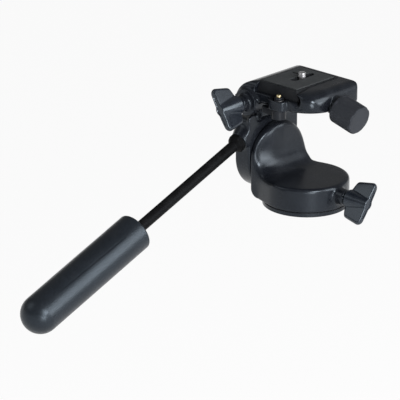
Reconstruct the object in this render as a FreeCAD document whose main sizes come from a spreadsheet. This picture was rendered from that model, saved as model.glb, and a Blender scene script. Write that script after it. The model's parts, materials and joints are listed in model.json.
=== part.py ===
import FreeCAD, Part
import math
import os
import re

import Sketcher
from FreeCAD import Placement, Rotation, Vector

# Three way pan and tilt head for a camera. Lengths in millimetres, angles in degrees.
# +Z is up, +Y is the way the camera looks, +X is to its right. The origin is the middle of the
# base's underside, on the pan axis, at the mouth of the tripod thread.

SIZES = {
    # Clearances
    "running_gap": 0.05,
    "face_gap": 0.3,
    # Fixed base and pan spindle
    "base_radius": 38.5,
    "base_height": 3.6,
    "base_edge": 0.7,
    "tripod_thread_radius": 4.7625,
    "tripod_thread_depth": 11,
    "spindle_radius": 9.5,
    "spindle_top": 21.4,
    "spindle_flange_radius": 16,
    "spindle_flange_height": 2.4,
    "groove_depth": 1.6,
    "groove_width": 6.4,
    "base_screw_circle": 12.8,
    "base_screw_radius": 1.5,
    "base_screw_head_radius": 2.7,
    "base_screw_head_height": 1.3,
    "base_screw_length": 3.1,
    "base_screw_sink": 0,
    "grub_radius": 2,
    "grub_length": 6,
    # Pan casting: a turntable with an upright wall on its left
    "turntable_top": 25.8,
    "turntable_edge": 1.8,
    "rim_thickness": 4,
    "roof_thickness": 4.2,
    "hub_radius": 15,
    "rib_thickness": 3,
    "wall_face": 28.4,
    "wall_thickness": 9.4,
    "arch_radius": 31.6,
    "arch_edge": 1.0,
    "wall_foot_radius": 8.6,
    "blend_foot": 12.9,
    "blend_low_radius": 10,
    "blend_high_radius": 45,
    # Pan lock
    "pan_lock_height": 16.4,
    "lock_boss_radius": 7.2,
    "pan_boss_reach": 48.7,
    "lock_stud_radius": 3,
    "brake_pad_length": 3.6,
    "pan_blade_angle": 54,
    # Wing knobs
    "wing_length": 24,
    "wing_hub_radius": 8.4,
    "wing_hub_tip": 4.2,
    "wing_hub_root": 7.2,
    "wing_hub_shoulder": 2,
    "wing_start": 3,
    "wing_inner_reach": 15.4,
    "wing_outer_reach": 20.4,
    "wing_thickness": 5.8,
    "wing_corner": 2.8,
    "wing_edge": 1.6,
    "wing_bore_depth": 15,
    "wing_dish_depth": 0.8,
    "wing_dish_width": 2.6,
    "wing_dish_margin": 2.4,
    "insert_wall": 1.6,
    # Tilt axis
    "tilt_height": 36.4,
    "tilt_gap": 1,
    "tilt_ring_inner": 21.5,
    "tilt_ring_outer": 29,
    "drum_radius": 20,
    "drum_length": 12.7,
    "drum_washer_overhang": 2.6,
    "drum_washer_thickness": 1.2,
    "drum_screw_circle": 12,
    "drum_screw_radius": 2.5,
    "drum_screw_head_radius": 4.2,
    "drum_screw_head_height": 2.2,
    "drum_screw_bite": 6.8,
    "housing_radius": 32,
    "housing_width": 17.2,
    "housing_top": 75.4,
    "housing_edge": 1.6,
    "housing_corner": 4,
    "tilt_cover_thickness": 1.5,
    "tilt_cover_margin": 0.6,
    "shoe_width": 6,
    "shoe_length": 12,
    "shoe_top": 69.5,
    "shoe_start": 3,
    "shoe_gap": 0.1,
    # Pan handle
    "handle_height": 56.2,
    "handle_drop": 20.5,
    "rod_radius": 5,
    "rod_thread_radius": 4,
    "rod_thread_reach": 29,
    "rod_end": 235,
    "rod_wall": 1.6,
    "rod_plug_length": 12,
    "collar_start": 4.8,
    "collar_length": 7.8,
    "collar_flats": 14.8,
    "handle_boss_radius": 12.6,
    "handle_boss_tip": 8.2,
    "handle_boss_root": 4.5,
    "grip_start": 142.6,
    "grip_straight": 120.3,
    "grip_radius": 17,
    "grip_mouth_edge": 1.8,
    "core_radius": 9.5,
    "core_end": 255,
    # Side tilt axis
    "roll_offset": 41,
    "roll_height": 92.3,
    "knuckle_radius": 8,
    "knuckle_length": 43.4,
    "neck_sink": 4.4,
    "neck_slope_height": 6.5,
    "shoulder_thickness": 3,
    "shoulder_gap": 1.8,
    "shoulder_corner": 5,
    "front_ear_radius": 12,
    "front_ear_reach": 36,
    "roll_disc_thickness": 0.8,
    "axle_radius": 4,
    "axle_nut_flats": 13,
    "axle_nut_height": 3.4,
    "roll_boss_reach": 43.5,
    "roll_blade_angle": -58,
    # Platform
    "platform_rise": 1.3,
    "platform_height": 18.9,
    "platform_right": 33.5,
    "platform_half_depth": 32,
    "left_shoulder_start": 31,
    "left_shoulder_radius": 26,
    "right_shoulder_radius": 9.5,
    "front_corner_radius": 13,
    "back_corner_radius": 6,
    "front_round": 6,
    "back_round": 2.5,
    "under_round": 3,
    "neck_room": 0.8,
    # Quick-release plate
    "plate_offset": 9.7,
    "plate_width": 42.6,
    "plate_length": 52.5,
    "plate_shift": -0.8,
    "plate_height": 10.6,
    "plate_flare": 2.2,
    "plate_foot": 3,
    "plate_slope": 4,
    "pad_thickness": 0.8,
    "pad_margin": 1.6,
    "pad_slot_margin": 0.6,
    "pocket_gap": 0.2,
    "pocket_end_gap": 1.1,
    "slot_half_length": 14,
    "slot_gap": 0.25,
    "recess_half_width": 10.5,
    "recess_half_length": 23,
    "recess_height": 4.6,
    "jaw_thickness": 2,
    "jaw_drop": 3.4,
    "jaw_height": 6,
    "jaw_half_length": 24,
    "jaw_room": 0.9,
    "lip_gap": 0.9,
    "pin_groove_inner": 7.5,
    "pin_groove_outer": 16,
    "pin_groove_shift": 4.1,
    "pin_groove_half_width": 1,
    "pin_groove_depth": 2,
    "camera_thread_radius": 3.175,
    "camera_neck_radius": 2.9,
    "camera_thread_reach": 4.2,
    "camera_screw_y": 4,
    "screw_head_radius": 7,
    "screw_head_height": 2.4,
    "screw_washer_radius": 8,
    "screw_washer_height": 0.6,
    "ring_wire_radius": 0.45,
    "ring_radius": 6,
    # Quick-release lever with its safety pin
    "lever_offset": 4.2,
    "lever_y": -32,
    "lever_block_half_width": 9.5,
    "lever_block_reach": 6.4,
    "lever_hub_radius": 6.2,
    "lever_hub_height": 7.7,
    "lever_reach": 15.5,
    "lever_tip_radius": 3,
    "lever_arm_height": 5.4,
    "shaft_radius": 4.25,
    "shaft_shoulder": 5.4,
    "cam_radius": 4.3,
    "cam_throw": 0.35,
    "cam_height": 3.4,
    "cam_room": 0.9,
    "pin_radius": 2.3,
    "pin_rise": 13.7,
    "pin_length": 14.6,
    "plug_height": 1.4,
    "spring_wire_radius": 0.3,
    "return_wire_radius": 0.35,
    "return_recess_radius": 5.45,
    "return_recess_height": 3,
    # Round knob that clamps the plate
    "side_knob_x": 36.9,
    "side_knob_rise": 3.1,
    "side_knob_drop": 15,
    "side_knob_radius": 13.2,
    "side_knob_length": 24.5,
    "side_knob_edge": 1.6,
    "side_flute_radius": 6,
    "side_flute_depth": 0.7,
    "side_boss_radius": 8.5,
    "side_boss_length": 8,
    "plunger_length": 3.3,
    "jaw_play": 0.22,
    "side_stud_outer": 14,
}

# Places worked out from the sizes
PLACES = {
    "turntable_bottom": "base_height + face_gap",
    "wall_back": "wall_face + wall_thickness",
    "corner_square": "(wall_face^2 + arch_radius^2)",
    "web_pull": "(base_radius^2/corner_square)",
    "web_turn": "(base_radius*sqrt(corner_square - base_radius^2)/corner_square)",
    "web_x": "web_turn*arch_radius - web_pull*wall_face",
    "web_y": "web_pull*arch_radius + web_turn*wall_face",
    "cavity_radius": "base_radius - rim_thickness",
    "cavity_top": "turntable_top - roof_thickness",
    "groove_low": "pan_lock_height - groove_width/2",
    "groove_radius": "spindle_radius - groove_depth",
    "spindle_bore_top": "spindle_top + face_gap",
    "stud_bore": "lock_stud_radius + running_gap",
    "pad_tip": "groove_radius + face_gap",
    "housing_inner": "wall_back + tilt_gap",
    "housing_outer": "housing_inner + housing_width",
    "drum_end": "wall_back + drum_length",
    "washer_radius": "drum_radius + drum_washer_overhang",
    "washer_end": "drum_end + drum_washer_thickness",
    "cover_radius": "washer_radius + tilt_cover_margin",
    "cover_inner": "housing_outer - tilt_cover_thickness",
    "handle_x": "(housing_inner + housing_outer)/2",
    "neck_foot": "housing_top - neck_sink",
    "shoulder_top": "roll_height - front_ear_radius - shoulder_gap",
    "knuckle_half": "knuckle_length/2",
    "ear_inner": "knuckle_half + roll_disc_thickness",
    "ear_radius": "knuckle_radius + 0.5",
    "platform_bottom": "roll_height + platform_rise",
    "platform_top": "platform_bottom + platform_height",
    "plate_bottom": "plate_top - plate_height",
    "plate_top": "platform_top + pocket_end_gap",
    "plate_front": "plate_shift - plate_length/2",
    "plate_back": "plate_shift + plate_length/2",
    "foot_half_width": "plate_width/2 + plate_flare",
    "jaw_inner": "foot_half_width - plate_offset + pocket_gap",
    "jaw_outer": "jaw_inner + jaw_thickness",
    "pocket_right": "jaw_outer + jaw_room",
    "slot_half_width": "camera_thread_radius + slot_gap",
    "neck_bore": "camera_neck_radius + running_gap",
    "recess_top": "plate_bottom + recess_height",
    "washer_low": "recess_top - screw_washer_height",
    "head_low": "washer_low - screw_head_height",
    "ring_height": "(plate_bottom + face_gap + head_low)/2",
    "shaft_bore": "shaft_radius + running_gap",
    "cam_floor": "platform_bottom + shaft_shoulder",
    "hub_top": "platform_bottom - face_gap",
    "hub_bottom": "hub_top - lever_hub_height",
    "pin_bore": "pin_radius + running_gap",
    "pin_top": "platform_bottom + pin_rise",
    "pin_low": "pin_top - pin_length",
    "lever_front": "lever_y - lever_block_reach",
    "collar_end": "collar_start + collar_length",
    "collar_waist": "collar_start + collar_length*0.55",
    "knob_root": "pan_boss_reach + face_gap",
    "plunger_tip": "(side_knob_x - jaw_outer - jaw_play - lock_stud_radius*sin(side_knob_drop))"
                   "/cos(side_knob_drop)",
    "side_stud_inner": "plunger_tip - plunger_length - face_gap",
    "side_knob_z": "platform_bottom + side_knob_rise",
    "shoulder_foot": "left_shoulder_start + sqrt(left_shoulder_radius^2 - "
                     "(left_shoulder_radius - platform_top + platform_bottom)^2)",
}

doc = FreeCAD.newDocument("pan_tilt_head")
sheet = doc.addObject("Spreadsheet::Sheet", "Sizes")
for row, (alias, value) in enumerate(SIZES.items(), start=1):
    sheet.set("A%d" % row, alias)
    sheet.set("B%d" % row, str(value))
    sheet.setAlias("B%d" % row, alias)
doc.recompute()

TURNS = {
    "X": Rotation(Vector(0, 1, 0), 90),
    "Y": Rotation(Vector(1, 0, 0), -90),
    "-Y": Rotation(Vector(1, 0, 0), 90),
    "Z": Rotation(),
}


def tied(text):
    """A size or place written in words, as an expression on the sheet's cells."""
    def swap(word):
        name = word.group(0)
        if name in PLACES:
            return "(" + tied(PLACES[name]) + ")"
        return "Sizes." + name if name in SIZES else name
    return re.sub(r"[A-Za-z_]\w*", swap, str(text))


def number(text):
    return float(sheet.evalExpression(tied(text)))


def bind(thing, **sizes):
    for name, text in sizes.items():
        thing.setExpression(name.replace("__", "."), tied(text))
    return thing


def place(thing, x=0, y=0, z=0, turn="Z", angle=None):
    """Set a thing down at x, y, z. turn is a name in TURNS, or the axis that angle turns about."""
    if angle is None:
        thing.Placement = Placement(Vector(), TURNS[turn])
    else:
        thing.Placement = Placement(Vector(), Rotation(turn, number(angle)))
        thing.setExpression("Placement.Rotation.Angle", tied(angle))
    return bind(thing, Placement__Base__x=x, Placement__Base__y=y, Placement__Base__z=z)


def box(name, low, high):
    thing = doc.addObject("Part::Box", name)
    bind(thing, **{side: "(%s) - (%s)" % (b, a)
                   for side, a, b in zip(("Length", "Width", "Height"), low, high)})
    return place(thing, *low)


def rod(name, radius, start, end, x=0, y=0, z=0, along="Z"):
    """A cylinder from start to end along X, Y or Z, through the two other coordinates."""
    thing = doc.addObject("Part::Cylinder", name)
    bind(thing, Radius=radius, Height="(%s) - (%s)" % (end, start))
    spot = {"x": x, "y": y, "z": z}
    spot[along.lower()] = start
    return place(thing, turn=along, **spot)


def cone(name, radius, end_radius, start, end, x=0, y=0, z=0, along="Z"):
    thing = doc.addObject("Part::Cone", name)
    bind(thing, Radius1=radius, Radius2=end_radius, Height="(%s) - (%s)" % (end, start))
    spot = {"x": x, "y": y, "z": z}
    spot[along.lower()] = start
    return place(thing, turn=along, **spot)


def fuse(name, *pieces):
    thing = doc.addObject("Part::MultiFuse", name)
    thing.Shapes = list(pieces)
    thing.Refine = True
    return thing


def cut(name, base, *tools):
    thing = doc.addObject("Part::Cut", name)
    thing.Base = base
    thing.Tool = tools[0] if len(tools) == 1 else fuse(name + "_tools", *tools)
    thing.Refine = True
    return thing


def common(name, *pieces):
    thing = doc.addObject("Part::MultiCommon", name)
    thing.Shapes = list(pieces)
    return thing


def group(name, *pieces):
    thing = doc.addObject("Part::Compound", name)
    thing.Links = list(pieces)
    return thing


def ring(name, inner, outer, start, end, **where):
    return cut(name, rod(name + "_disc", outer, start, end, **where),
               rod(name + "_hole", inner, start, end, **where))


def hexagon(name, flats, height):
    """A hexagonal prism up from the origin, measured across its flats."""
    thing = doc.addObject("Part::Prism", name)
    thing.Polygon = 6
    return bind(thing, Circumradius="(%s)/sqrt(3)" % flats, Height=height)


def outline(sketch, path):
    """Draw a closed path. Each point is (x, y), or (x, y, centre x, centre y, turn) where an arc
    about that centre ends, with turn +1 anticlockwise and -1 clockwise."""
    spots = [Vector(number(p[0]), number(p[1]), 0) for p in path]
    arcs = {}
    for i, point in enumerate(path):
        a, b = spots[i - 1], spots[i]
        if len(point) == 2:
            sketch.addGeometry(Part.LineSegment(a, b))
            continue
        centre = Vector(number(point[2]), number(point[3]), 0)
        start, end = [math.atan2(p.y - centre.y, p.x - centre.x) for p in (a, b)]
        if point[4] < 0:
            start, end = end, start
        circle = Part.Circle(centre, Vector(0, 0, 1), a.distanceToPoint(centre))
        sketch.addGeometry(Part.ArcOfCircle(circle, start, end))
        arcs[i] = abs(a.y - b.y) > abs(a.x - b.x)
    for i, point in enumerate(path):
        after = (i + 1) % len(path)
        last = 1 if i in arcs and point[4] < 0 else 2
        first = 2 if after in arcs and path[after][4] < 0 else 1
        sketch.addConstraint(Sketcher.Constraint("Coincident", i, last, after, first))
        for kind, text, value in (("DistanceX", point[0], spots[i].x), ("DistanceY", point[1], spots[i].y)):
            tie = sketch.addConstraint(Sketcher.Constraint(kind, -1, 1, i, last, value))
            sketch.setExpression("Constraints[%d]" % tie, tied(text))
    for i, upright in arcs.items():
        kind, text = ("DistanceX", path[i][2]) if upright else ("DistanceY", path[i][3])
        tie = sketch.addConstraint(Sketcher.Constraint(kind, -1, 1, i, 3, number(text)))
        sketch.setExpression("Constraints[%d]" % tie, tied(text))


def sketched(body, plane, offset, path):
    sketch = body.newObject("Sketcher::SketchObject", body.Name + "_sketch")
    support = [f for f in body.Origin.OriginFeatures if f.Role == plane][0]
    sketch.AttachmentSupport = [(support, "")]
    sketch.MapMode = "FlatFace"
    bind(sketch, AttachmentOffset__Base__z=offset)
    outline(sketch, path)
    return sketch


def padded(name, plane, start, end, path):
    """A body padded from start to end along the axis its plane leaves out."""
    body = doc.addObject("PartDesign::Body", name)
    flipped = plane == "XZ_Plane"
    sketch = sketched(body, plane, "-(%s)" % start if flipped else start, path)
    pad = body.newObject("PartDesign::Pad", name + "_pad")
    pad.Profile = sketch
    pad.Reversed = flipped
    bind(pad, Length="(%s) - (%s)" % (end, start))
    doc.recompute()
    return body


def soften(body, radius, *wanted):
    """Fillet the body's edges that any of the wanted tests picks."""
    tip = body.Tip
    names = ["Edge%d" % (i + 1) for i, edge in enumerate(tip.Shape.Edges)
             if any(test(edge) for test in wanted)]
    fillet = body.newObject("PartDesign::Fillet", body.Name + "_fillet")
    fillet.Base = (tip, names)
    bind(fillet, Radius=radius)
    doc.recompute()
    return body


def rounded(name, base, radius, *wanted):
    doc.recompute()
    thing = doc.addObject("Part::Fillet", name)
    thing.Base = base
    size = number(radius)
    thing.Edges = [(i + 1, size, size) for i, edge in enumerate(base.Shape.Edges)
                   if any(test(edge) for test in wanted)]
    return thing


def flat_at(axis, value):
    """Edges that lie in one plane across an axis."""
    side = number(value)
    return lambda edge: all(abs(getattr(v.Point, axis) - side) < 0.001 for v in edge.Vertexes) and (
        abs(getattr(edge.BoundBox, axis.upper() + "Max") - side) < 0.001
        and abs(getattr(edge.BoundBox, axis.upper() + "Min") - side) < 0.001)


def turned_copies(name, make, count, first=0):
    """Copies of one piece about the Z axis."""
    pieces = []
    for i in range(count):
        piece = make("%s_%d" % (name, i + 1))
        holder = group("%s_turn_%d" % (name, i + 1), piece)
        place(holder, turn=Vector(0, 0, 1), angle="%s + %d*360/%d" % (first, i, count))
        pieces.append(holder)
    return pieces


# Fixed base: a disc with the spindle's flange let into its underside

def countersunk(name):
    head_end = "base_screw_sink + base_screw_head_height"
    head = cone(name + "_head", "base_screw_head_radius", "base_screw_radius",
                "base_screw_sink", head_end, x="base_screw_circle")
    shank = rod(name + "_shank", "base_screw_radius", head_end, "base_screw_sink + base_screw_length",
                x="base_screw_circle")
    return fuse(name, head, shank)


base_screws = group("base_screws", *turned_copies("base_screw", countersunk, 3, first="30"))

base_disc = rounded("base_disc", rod("base_blank", "base_radius", "0", "base_height"), "base_edge",
                    flat_at("z", "0"))
base_plate = cut("base_plate", base_disc,
                 rod("flange_seat", "spindle_flange_radius", "0", "spindle_flange_height"),
                 rod("spindle_hole", "spindle_radius", "spindle_flange_height", "base_height"),
                 base_screws)

spindle_blank = fuse("spindle_blank",
                     rod("spindle_flange", "spindle_flange_radius", "0", "spindle_flange_height"),
                     rod("spindle_shaft", "spindle_radius", "spindle_flange_height", "spindle_top"))
spindle_groove = ring("spindle_groove", "groove_radius", "spindle_radius + 1",
                      "groove_low", "groove_low + groove_width")
# The tapped hole's countersunk mouth is left as wide as the thread, so the wall is true from the face
pan_spindle = cut("pan_spindle", spindle_blank, spindle_groove,
                  rod("tripod_thread", "tripod_thread_radius", "0", "tripod_thread_depth"), base_screws)

pan_friction_ring = ring("pan_friction_ring", "cavity_radius + face_gap", "base_radius - face_gap*2",
                         "base_height", "turntable_bottom")


# Pan casting

arch_path = [
    ("-arch_radius", "turntable_bottom"),
    ("arch_radius", "turntable_bottom"),
    ("arch_radius", "tilt_height"),
    ("-arch_radius", "tilt_height", "0", "tilt_height", 1),
]
wall = padded("wall", "YZ_Plane", "-wall_back", "-wall_face", arch_path)
soften(wall, "arch_edge", lambda edge: edge.BoundBox.ZMax > number("tilt_height") + 1
       and edge.BoundBox.XLength < 0.001)

# The hollow between wall and turntable: a small arc at its foot runs into a large one up the wall
blend_rise = "sqrt((blend_high_radius - blend_low_radius)^2 - (blend_high_radius - blend_foot)^2)"
blend_side = "(blend_high_radius/(blend_high_radius - blend_low_radius))"
blend_top = "(turntable_top + blend_low_radius + %s)" % blend_rise
blend_joint = ("blend_high_radius - wall_face - (blend_high_radius - blend_foot)*" + blend_side,
               blend_top + " - " + blend_rise + "*" + blend_side)
blend_path = [
    ("-wall_face - 2", "turntable_top - 2"),
    ("blend_foot - wall_face", "turntable_top - 2"),
    ("blend_foot - wall_face", "turntable_top"),
    blend_joint + ("blend_foot - wall_face", "turntable_top + blend_low_radius", -1),
    ("-wall_face", blend_top, "blend_high_radius - wall_face", blend_top, -1),
    ("-wall_face - 2", blend_top),
]
blend_bar = padded("blend_bar", "XZ_Plane", "-base_radius", "base_radius", blend_path)
blend_arch = padded("blend_arch", "YZ_Plane", "-wall_face - 2", "0", arch_path)

# Webs that run off the turntable's side on a tangent and end at the wall's edges
web_path = [
    ("-wall_face - 2", "-arch_radius"),
    ("-wall_face", "-arch_radius"),
    ("web_x", "-(web_y)"),
    ("web_x", "web_y"),
    ("-wall_face", "arch_radius"),
    ("-wall_face - 2", "arch_radius"),
]
webs = padded("webs", "XY_Plane", "turntable_bottom", "turntable_top", web_path)
webs_above = padded("webs_above", "XY_Plane", "turntable_bottom", "turntable_top + arch_radius*2", web_path)
blend = common("blend", blend_bar, blend_arch,
               fuse("blend_reach", webs_above,
                    rod("blend_round", "base_radius", "turntable_bottom", "turntable_top + arch_radius*2")))

turntable = rounded("turntable", rod("turntable_blank", "base_radius", "turntable_bottom", "turntable_top"),
                    "turntable_edge", flat_at("z", "turntable_top"))
pan_tunnel = rod("pan_tunnel", "lock_boss_radius", "hub_radius - 3", "pan_boss_reach",
                 z="pan_lock_height", along="X")
cavity = cut("cavity", rod("cavity_blank", "cavity_radius", "turntable_bottom", "cavity_top"),
             rod("hub", "hub_radius", "turntable_bottom", "cavity_top"),
             rod("tunnel_keep", "lock_boss_radius", "hub_radius - 3", "base_radius",
                 z="pan_lock_height", along="X"),
             box("rib_across", ("-rib_thickness/2", "-base_radius", "turntable_bottom"),
                 ("rib_thickness/2", "base_radius", "cavity_top")),
             box("rib_back", ("-base_radius", "-rib_thickness/2", "turntable_bottom"),
                 ("0", "rib_thickness/2", "cavity_top")))
foot_round = cut("foot_round",
                 box("foot_block", ("-wall_back - 1", "-arch_radius - 1", "turntable_bottom - 1"),
                     ("wall_foot_radius - wall_back", "arch_radius + 1",
                      "turntable_bottom + wall_foot_radius")),
                 rod("foot_roller", "wall_foot_radius", "-arch_radius - 2", "arch_radius + 2",
                     x="wall_foot_radius - wall_back", z="turntable_bottom + wall_foot_radius", along="Y"))


def grub(name):
    return rod(name, "grub_radius", "groove_radius + face_gap", "groove_radius + face_gap + grub_length",
               z="pan_lock_height", along="X")


spindle_grub_screws = group("spindle_grub_screws", *turned_copies("grub", grub, 2, first="120"))


def drum_screw(name):
    shank = rod(name + "_shank", "drum_screw_radius", "-washer_end", "drum_screw_bite - wall_back",
                y="drum_screw_circle", along="X")
    head = rod(name + "_head", "drum_screw_head_radius", "-washer_end - drum_screw_head_height",
               "-washer_end", y="drum_screw_circle", along="X")
    return fuse(name, shank, head)


def about_tilt_axis(name, make, count):
    pieces = []
    for i in range(count):
        piece = make("%s_%d" % (name, i + 1))
        holder = group("%s_turn_%d" % (name, i + 1), piece)
        place(holder, z="tilt_height", turn=Vector(1, 0, 0), angle="90 + %d*360/%d" % (i, count))
        pieces.append(holder)
    return pieces


drum_screws = group("drum_screws", *about_tilt_axis("drum_screw", drum_screw, 3))

saddle_solid = fuse("saddle_solid", wall, turntable, webs, blend, pan_tunnel)
disc_trim = box("disc_trim", ("-base_radius - wall_back", "-base_radius", "turntable_bottom - 1"),
                ("-wall_back", "base_radius", "turntable_top + 1"))
pan_saddle = cut("pan_saddle", saddle_solid, cavity, foot_round, disc_trim,
                 rod("spindle_bore", "spindle_radius + running_gap", "turntable_bottom",
                     "spindle_bore_top"),
                 rod("pan_stud_bore", "stud_bore", "groove_radius", "pan_boss_reach",
                     z="pan_lock_height", along="X"),
                 spindle_grub_screws, drum_screws)

pan_brake_pad = rod("pan_brake_pad", "lock_stud_radius", "pad_tip", "pad_tip + brake_pad_length",
                    z="pan_lock_height", along="X")

# Tilt drum, fixed to the wall, with the washer that keeps the housing on

tilt_drum = cut("tilt_drum", rod("drum_blank", "drum_radius", "-drum_end", "-wall_back",
                                 z="tilt_height", along="X"), drum_screws)
drum_washer = cut("drum_washer", rod("drum_washer_blank", "washer_radius", "-washer_end", "-drum_end",
                                     z="tilt_height", along="X"), drum_screws)
tilt_friction_ring = ring("tilt_friction_ring", "tilt_ring_inner", "tilt_ring_outer",
                          "-housing_inner", "-wall_back", z="tilt_height", along="X")


# Tilt housing, with the handle's boss and the knuckle of the side tilt hinge

housing_blank = padded("housing_blank", "YZ_Plane", "-housing_outer", "-housing_inner", [
    ("-housing_radius", "housing_top"),
    ("-housing_radius", "tilt_height"),
    ("housing_radius", "tilt_height", "0", "tilt_height", 1),
    ("housing_radius", "housing_top"),
])
soften(housing_blank, "housing_corner", lambda edge: edge.BoundBox.XLength > number("housing_width") - 0.01
       and edge.BoundBox.ZMin > number("housing_top") - 0.01)
soften(housing_blank, "housing_edge", flat_at("x", "-housing_outer"), flat_at("x", "-housing_inner"))
neck = padded("neck", "XZ_Plane", "-knuckle_half", "knuckle_half", [
    ("-roll_offset - knuckle_radius", "neck_foot"),
    ("-housing_inner - 0.5", "neck_foot"),
    ("knuckle_radius - roll_offset", "neck_foot + neck_slope_height"),
    ("knuckle_radius - roll_offset", "roll_height"),
    ("-roll_offset - knuckle_radius", "roll_height", "-roll_offset", "roll_height", 1),
])
shoulder = padded("shoulder", "YZ_Plane", "-housing_inner - shoulder_thickness", "-housing_inner", [
    ("-housing_radius", "neck_foot"),
    ("housing_radius", "neck_foot"),
    ("housing_radius", "shoulder_top - shoulder_corner"),
    ("housing_radius - shoulder_corner", "shoulder_top",
     "housing_radius - shoulder_corner", "shoulder_top - shoulder_corner", 1),
    ("shoulder_corner - housing_radius", "shoulder_top"),
    ("-housing_radius", "shoulder_top - shoulder_corner",
     "shoulder_corner - housing_radius", "shoulder_top - shoulder_corner", 1),
])


def on_handle(thing):
    """Set a piece built up the Z axis along the handle's own axis, from the housing outwards."""
    return place(thing, x="-handle_x", y="-housing_radius", z="handle_height",
                 turn=Vector(1, 0, 0), angle="90 + handle_drop")


boss_cone = on_handle(group("boss_cone", cone("boss_cone_blank", "handle_boss_radius", "handle_boss_tip",
                                              "-handle_boss_root", "collar_start - face_gap")))
handle_boss = cut("handle_boss", boss_cone,
                  box("boss_trim", ("-housing_inner", "-housing_radius*2", "tilt_height"),
                      ("0", "0", "housing_top + housing_radius")))
rod_bore = on_handle(group("rod_bore", rod("rod_bore_blank", "rod_thread_radius + running_gap",
                                           "-rod_thread_reach - face_gap", "collar_start + 1")))
shoe_pocket = box("shoe_pocket",
                  ("-handle_x - shoe_width/2 - shoe_gap", "-shoe_start - shoe_gap", "tilt_height"),
                  ("shoe_width/2 + shoe_gap - handle_x", "shoe_length + shoe_gap - shoe_start",
                   "shoe_top + shoe_gap"))
tilt_housing = cut("tilt_housing", fuse("housing_solid", housing_blank, neck, shoulder, handle_boss),
                   rod("drum_bore", "drum_radius + running_gap", "0.1 - drum_end", "1 - housing_inner",
                       z="tilt_height", along="X"),
                   rod("washer_recess", "cover_radius", "-housing_outer - 1", "0.1 - drum_end",
                       z="tilt_height", along="X"),
                   rod("roll_bore", "axle_radius + running_gap", "-knuckle_half", "knuckle_half",
                       x="-roll_offset", z="roll_height", along="Y"),
                   rod_bore, shoe_pocket)
tilt_cover = rod("tilt_cover", "cover_radius", "-housing_outer", "-cover_inner", z="tilt_height", along="X")
tilt_brake_shoe = cut("tilt_brake_shoe",
                      box("shoe_blank", ("-handle_x - shoe_width/2", "-shoe_start", "tilt_height"),
                          ("shoe_width/2 - handle_x", "shoe_length - shoe_start", "shoe_top")),
                      rod("shoe_curve", "drum_radius + face_gap", "-housing_outer", "-wall_back",
                          z="tilt_height", along="X"))


# Pan handle: a threaded rod with its collar, and a rubber grip over a plastic core

handle_rod = on_handle(cut("handle_rod",
                           fuse("rod_solid",
                                rod("rod_thread", "rod_thread_radius", "-rod_thread_reach", "collar_end"),
                                rod("rod_tube", "rod_radius", "collar_end", "rod_end")),
                           rod("rod_hollow", "rod_radius - rod_wall", "collar_end + rod_plug_length",
                               "rod_end + 1")))
collar_turned = fuse("collar_turned",
                     rod("collar_low", "collar_flats*0.57", "collar_start", "collar_waist"),
                     cone("collar_cone", "collar_flats*0.57", "rod_radius", "collar_waist", "collar_end"))
handle_collar = on_handle(cut("handle_collar", common("collar_solid", collar_turned,
                                                      hexagon("collar_hex", "collar_flats", "collar_end")),
                              rod("collar_bore", "rod_thread_radius", "collar_start", "collar_end")))
grip_core = on_handle(ring("grip_core", "rod_radius", "core_radius", "grip_start", "core_end"))
grip_tube = rounded("grip_tube",
                    rod("grip_blank", "grip_radius", "grip_start", "grip_start + grip_straight"),
                    "grip_mouth_edge", flat_at("z", "grip_start"))
grip_end = doc.addObject("Part::Sphere", "grip_end")
place(bind(grip_end, Radius="grip_radius"), z="grip_start + grip_straight")
handle_grip = on_handle(cut("handle_grip", fuse("grip_solid", grip_tube, grip_end),
                            rod("grip_bore", "core_radius", "grip_start", "core_end")))


# Wing knobs, two of one moulding, each with its threaded metal piece

def wing(name, blade_angle, place_at, bore):
    """A wing knob from its root at the origin up to its outer face, then set in place."""
    lean = "((wing_outer_reach - wing_inner_reach)/(wing_length - wing_start))"
    low, high = "(wing_start + wing_corner)", "(wing_length - wing_corner)"
    near, far = "(wing_inner_reach - wing_corner)", "(wing_outer_reach - wing_corner)"
    side = "(wing_corner/sqrt(1 + %s^2))" % lean
    drop = "(wing_corner*%s/sqrt(1 + %s^2))" % (lean, lean)
    path = [
        (near, "wing_start"),
        (near + " + " + side, low + " - " + drop, near, low, 1),
        (far + " + " + side, high + " - " + drop),
        (far, "wing_length", far, high, 1),
        ("-" + far, "wing_length"),
        ("-" + far + " - " + side, high + " - " + drop, "-" + far, high, 1),
        ("-" + near + " - " + side, low + " - " + drop),
        ("-" + near, "wing_start", "-" + near, low, 1),
    ]
    blade = padded(name + "_blade", "XZ_Plane", "-wing_thickness/2", "wing_thickness/2", path)
    soften(blade, "wing_edge", flat_at("y", "-wing_thickness/2"), flat_at("y", "wing_thickness/2"))
    dish = box(name + "_dish", ("wing_dish_margin - wing_outer_reach", "-wing_dish_width/2",
                                "wing_length - wing_dish_depth"),
               ("wing_outer_reach - wing_dish_margin", "wing_dish_width/2", "wing_length + 1"))
    paddle = cut(name + "_paddle", blade, dish)
    place(paddle, turn=Vector(0, 0, 1), angle=blade_angle)
    hub = fuse(name + "_hub",
               cone(name + "_hub_root", "wing_hub_root", "wing_hub_radius", "0", "wing_hub_shoulder"),
               cone(name + "_hub_barrel", "wing_hub_radius", "wing_hub_tip", "wing_hub_shoulder",
                    "wing_length - wing_dish_depth"))
    knob = cut(name, fuse(name + "_solid", paddle, hub), rod(name + "_bore", bore, "0", "wing_bore_depth"))
    return place(knob, **place_at)


pan_knob_spot = {"x": "knob_root", "z": "pan_lock_height", "turn": "X"}
pan_knob = wing("pan_knob", "90 + pan_blade_angle", pan_knob_spot, "lock_stud_radius")
pan_stud = rod("pan_stud", "lock_stud_radius", "pad_tip + brake_pad_length + face_gap",
               "knob_root + wing_bore_depth", z="pan_lock_height", along="X")

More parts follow.
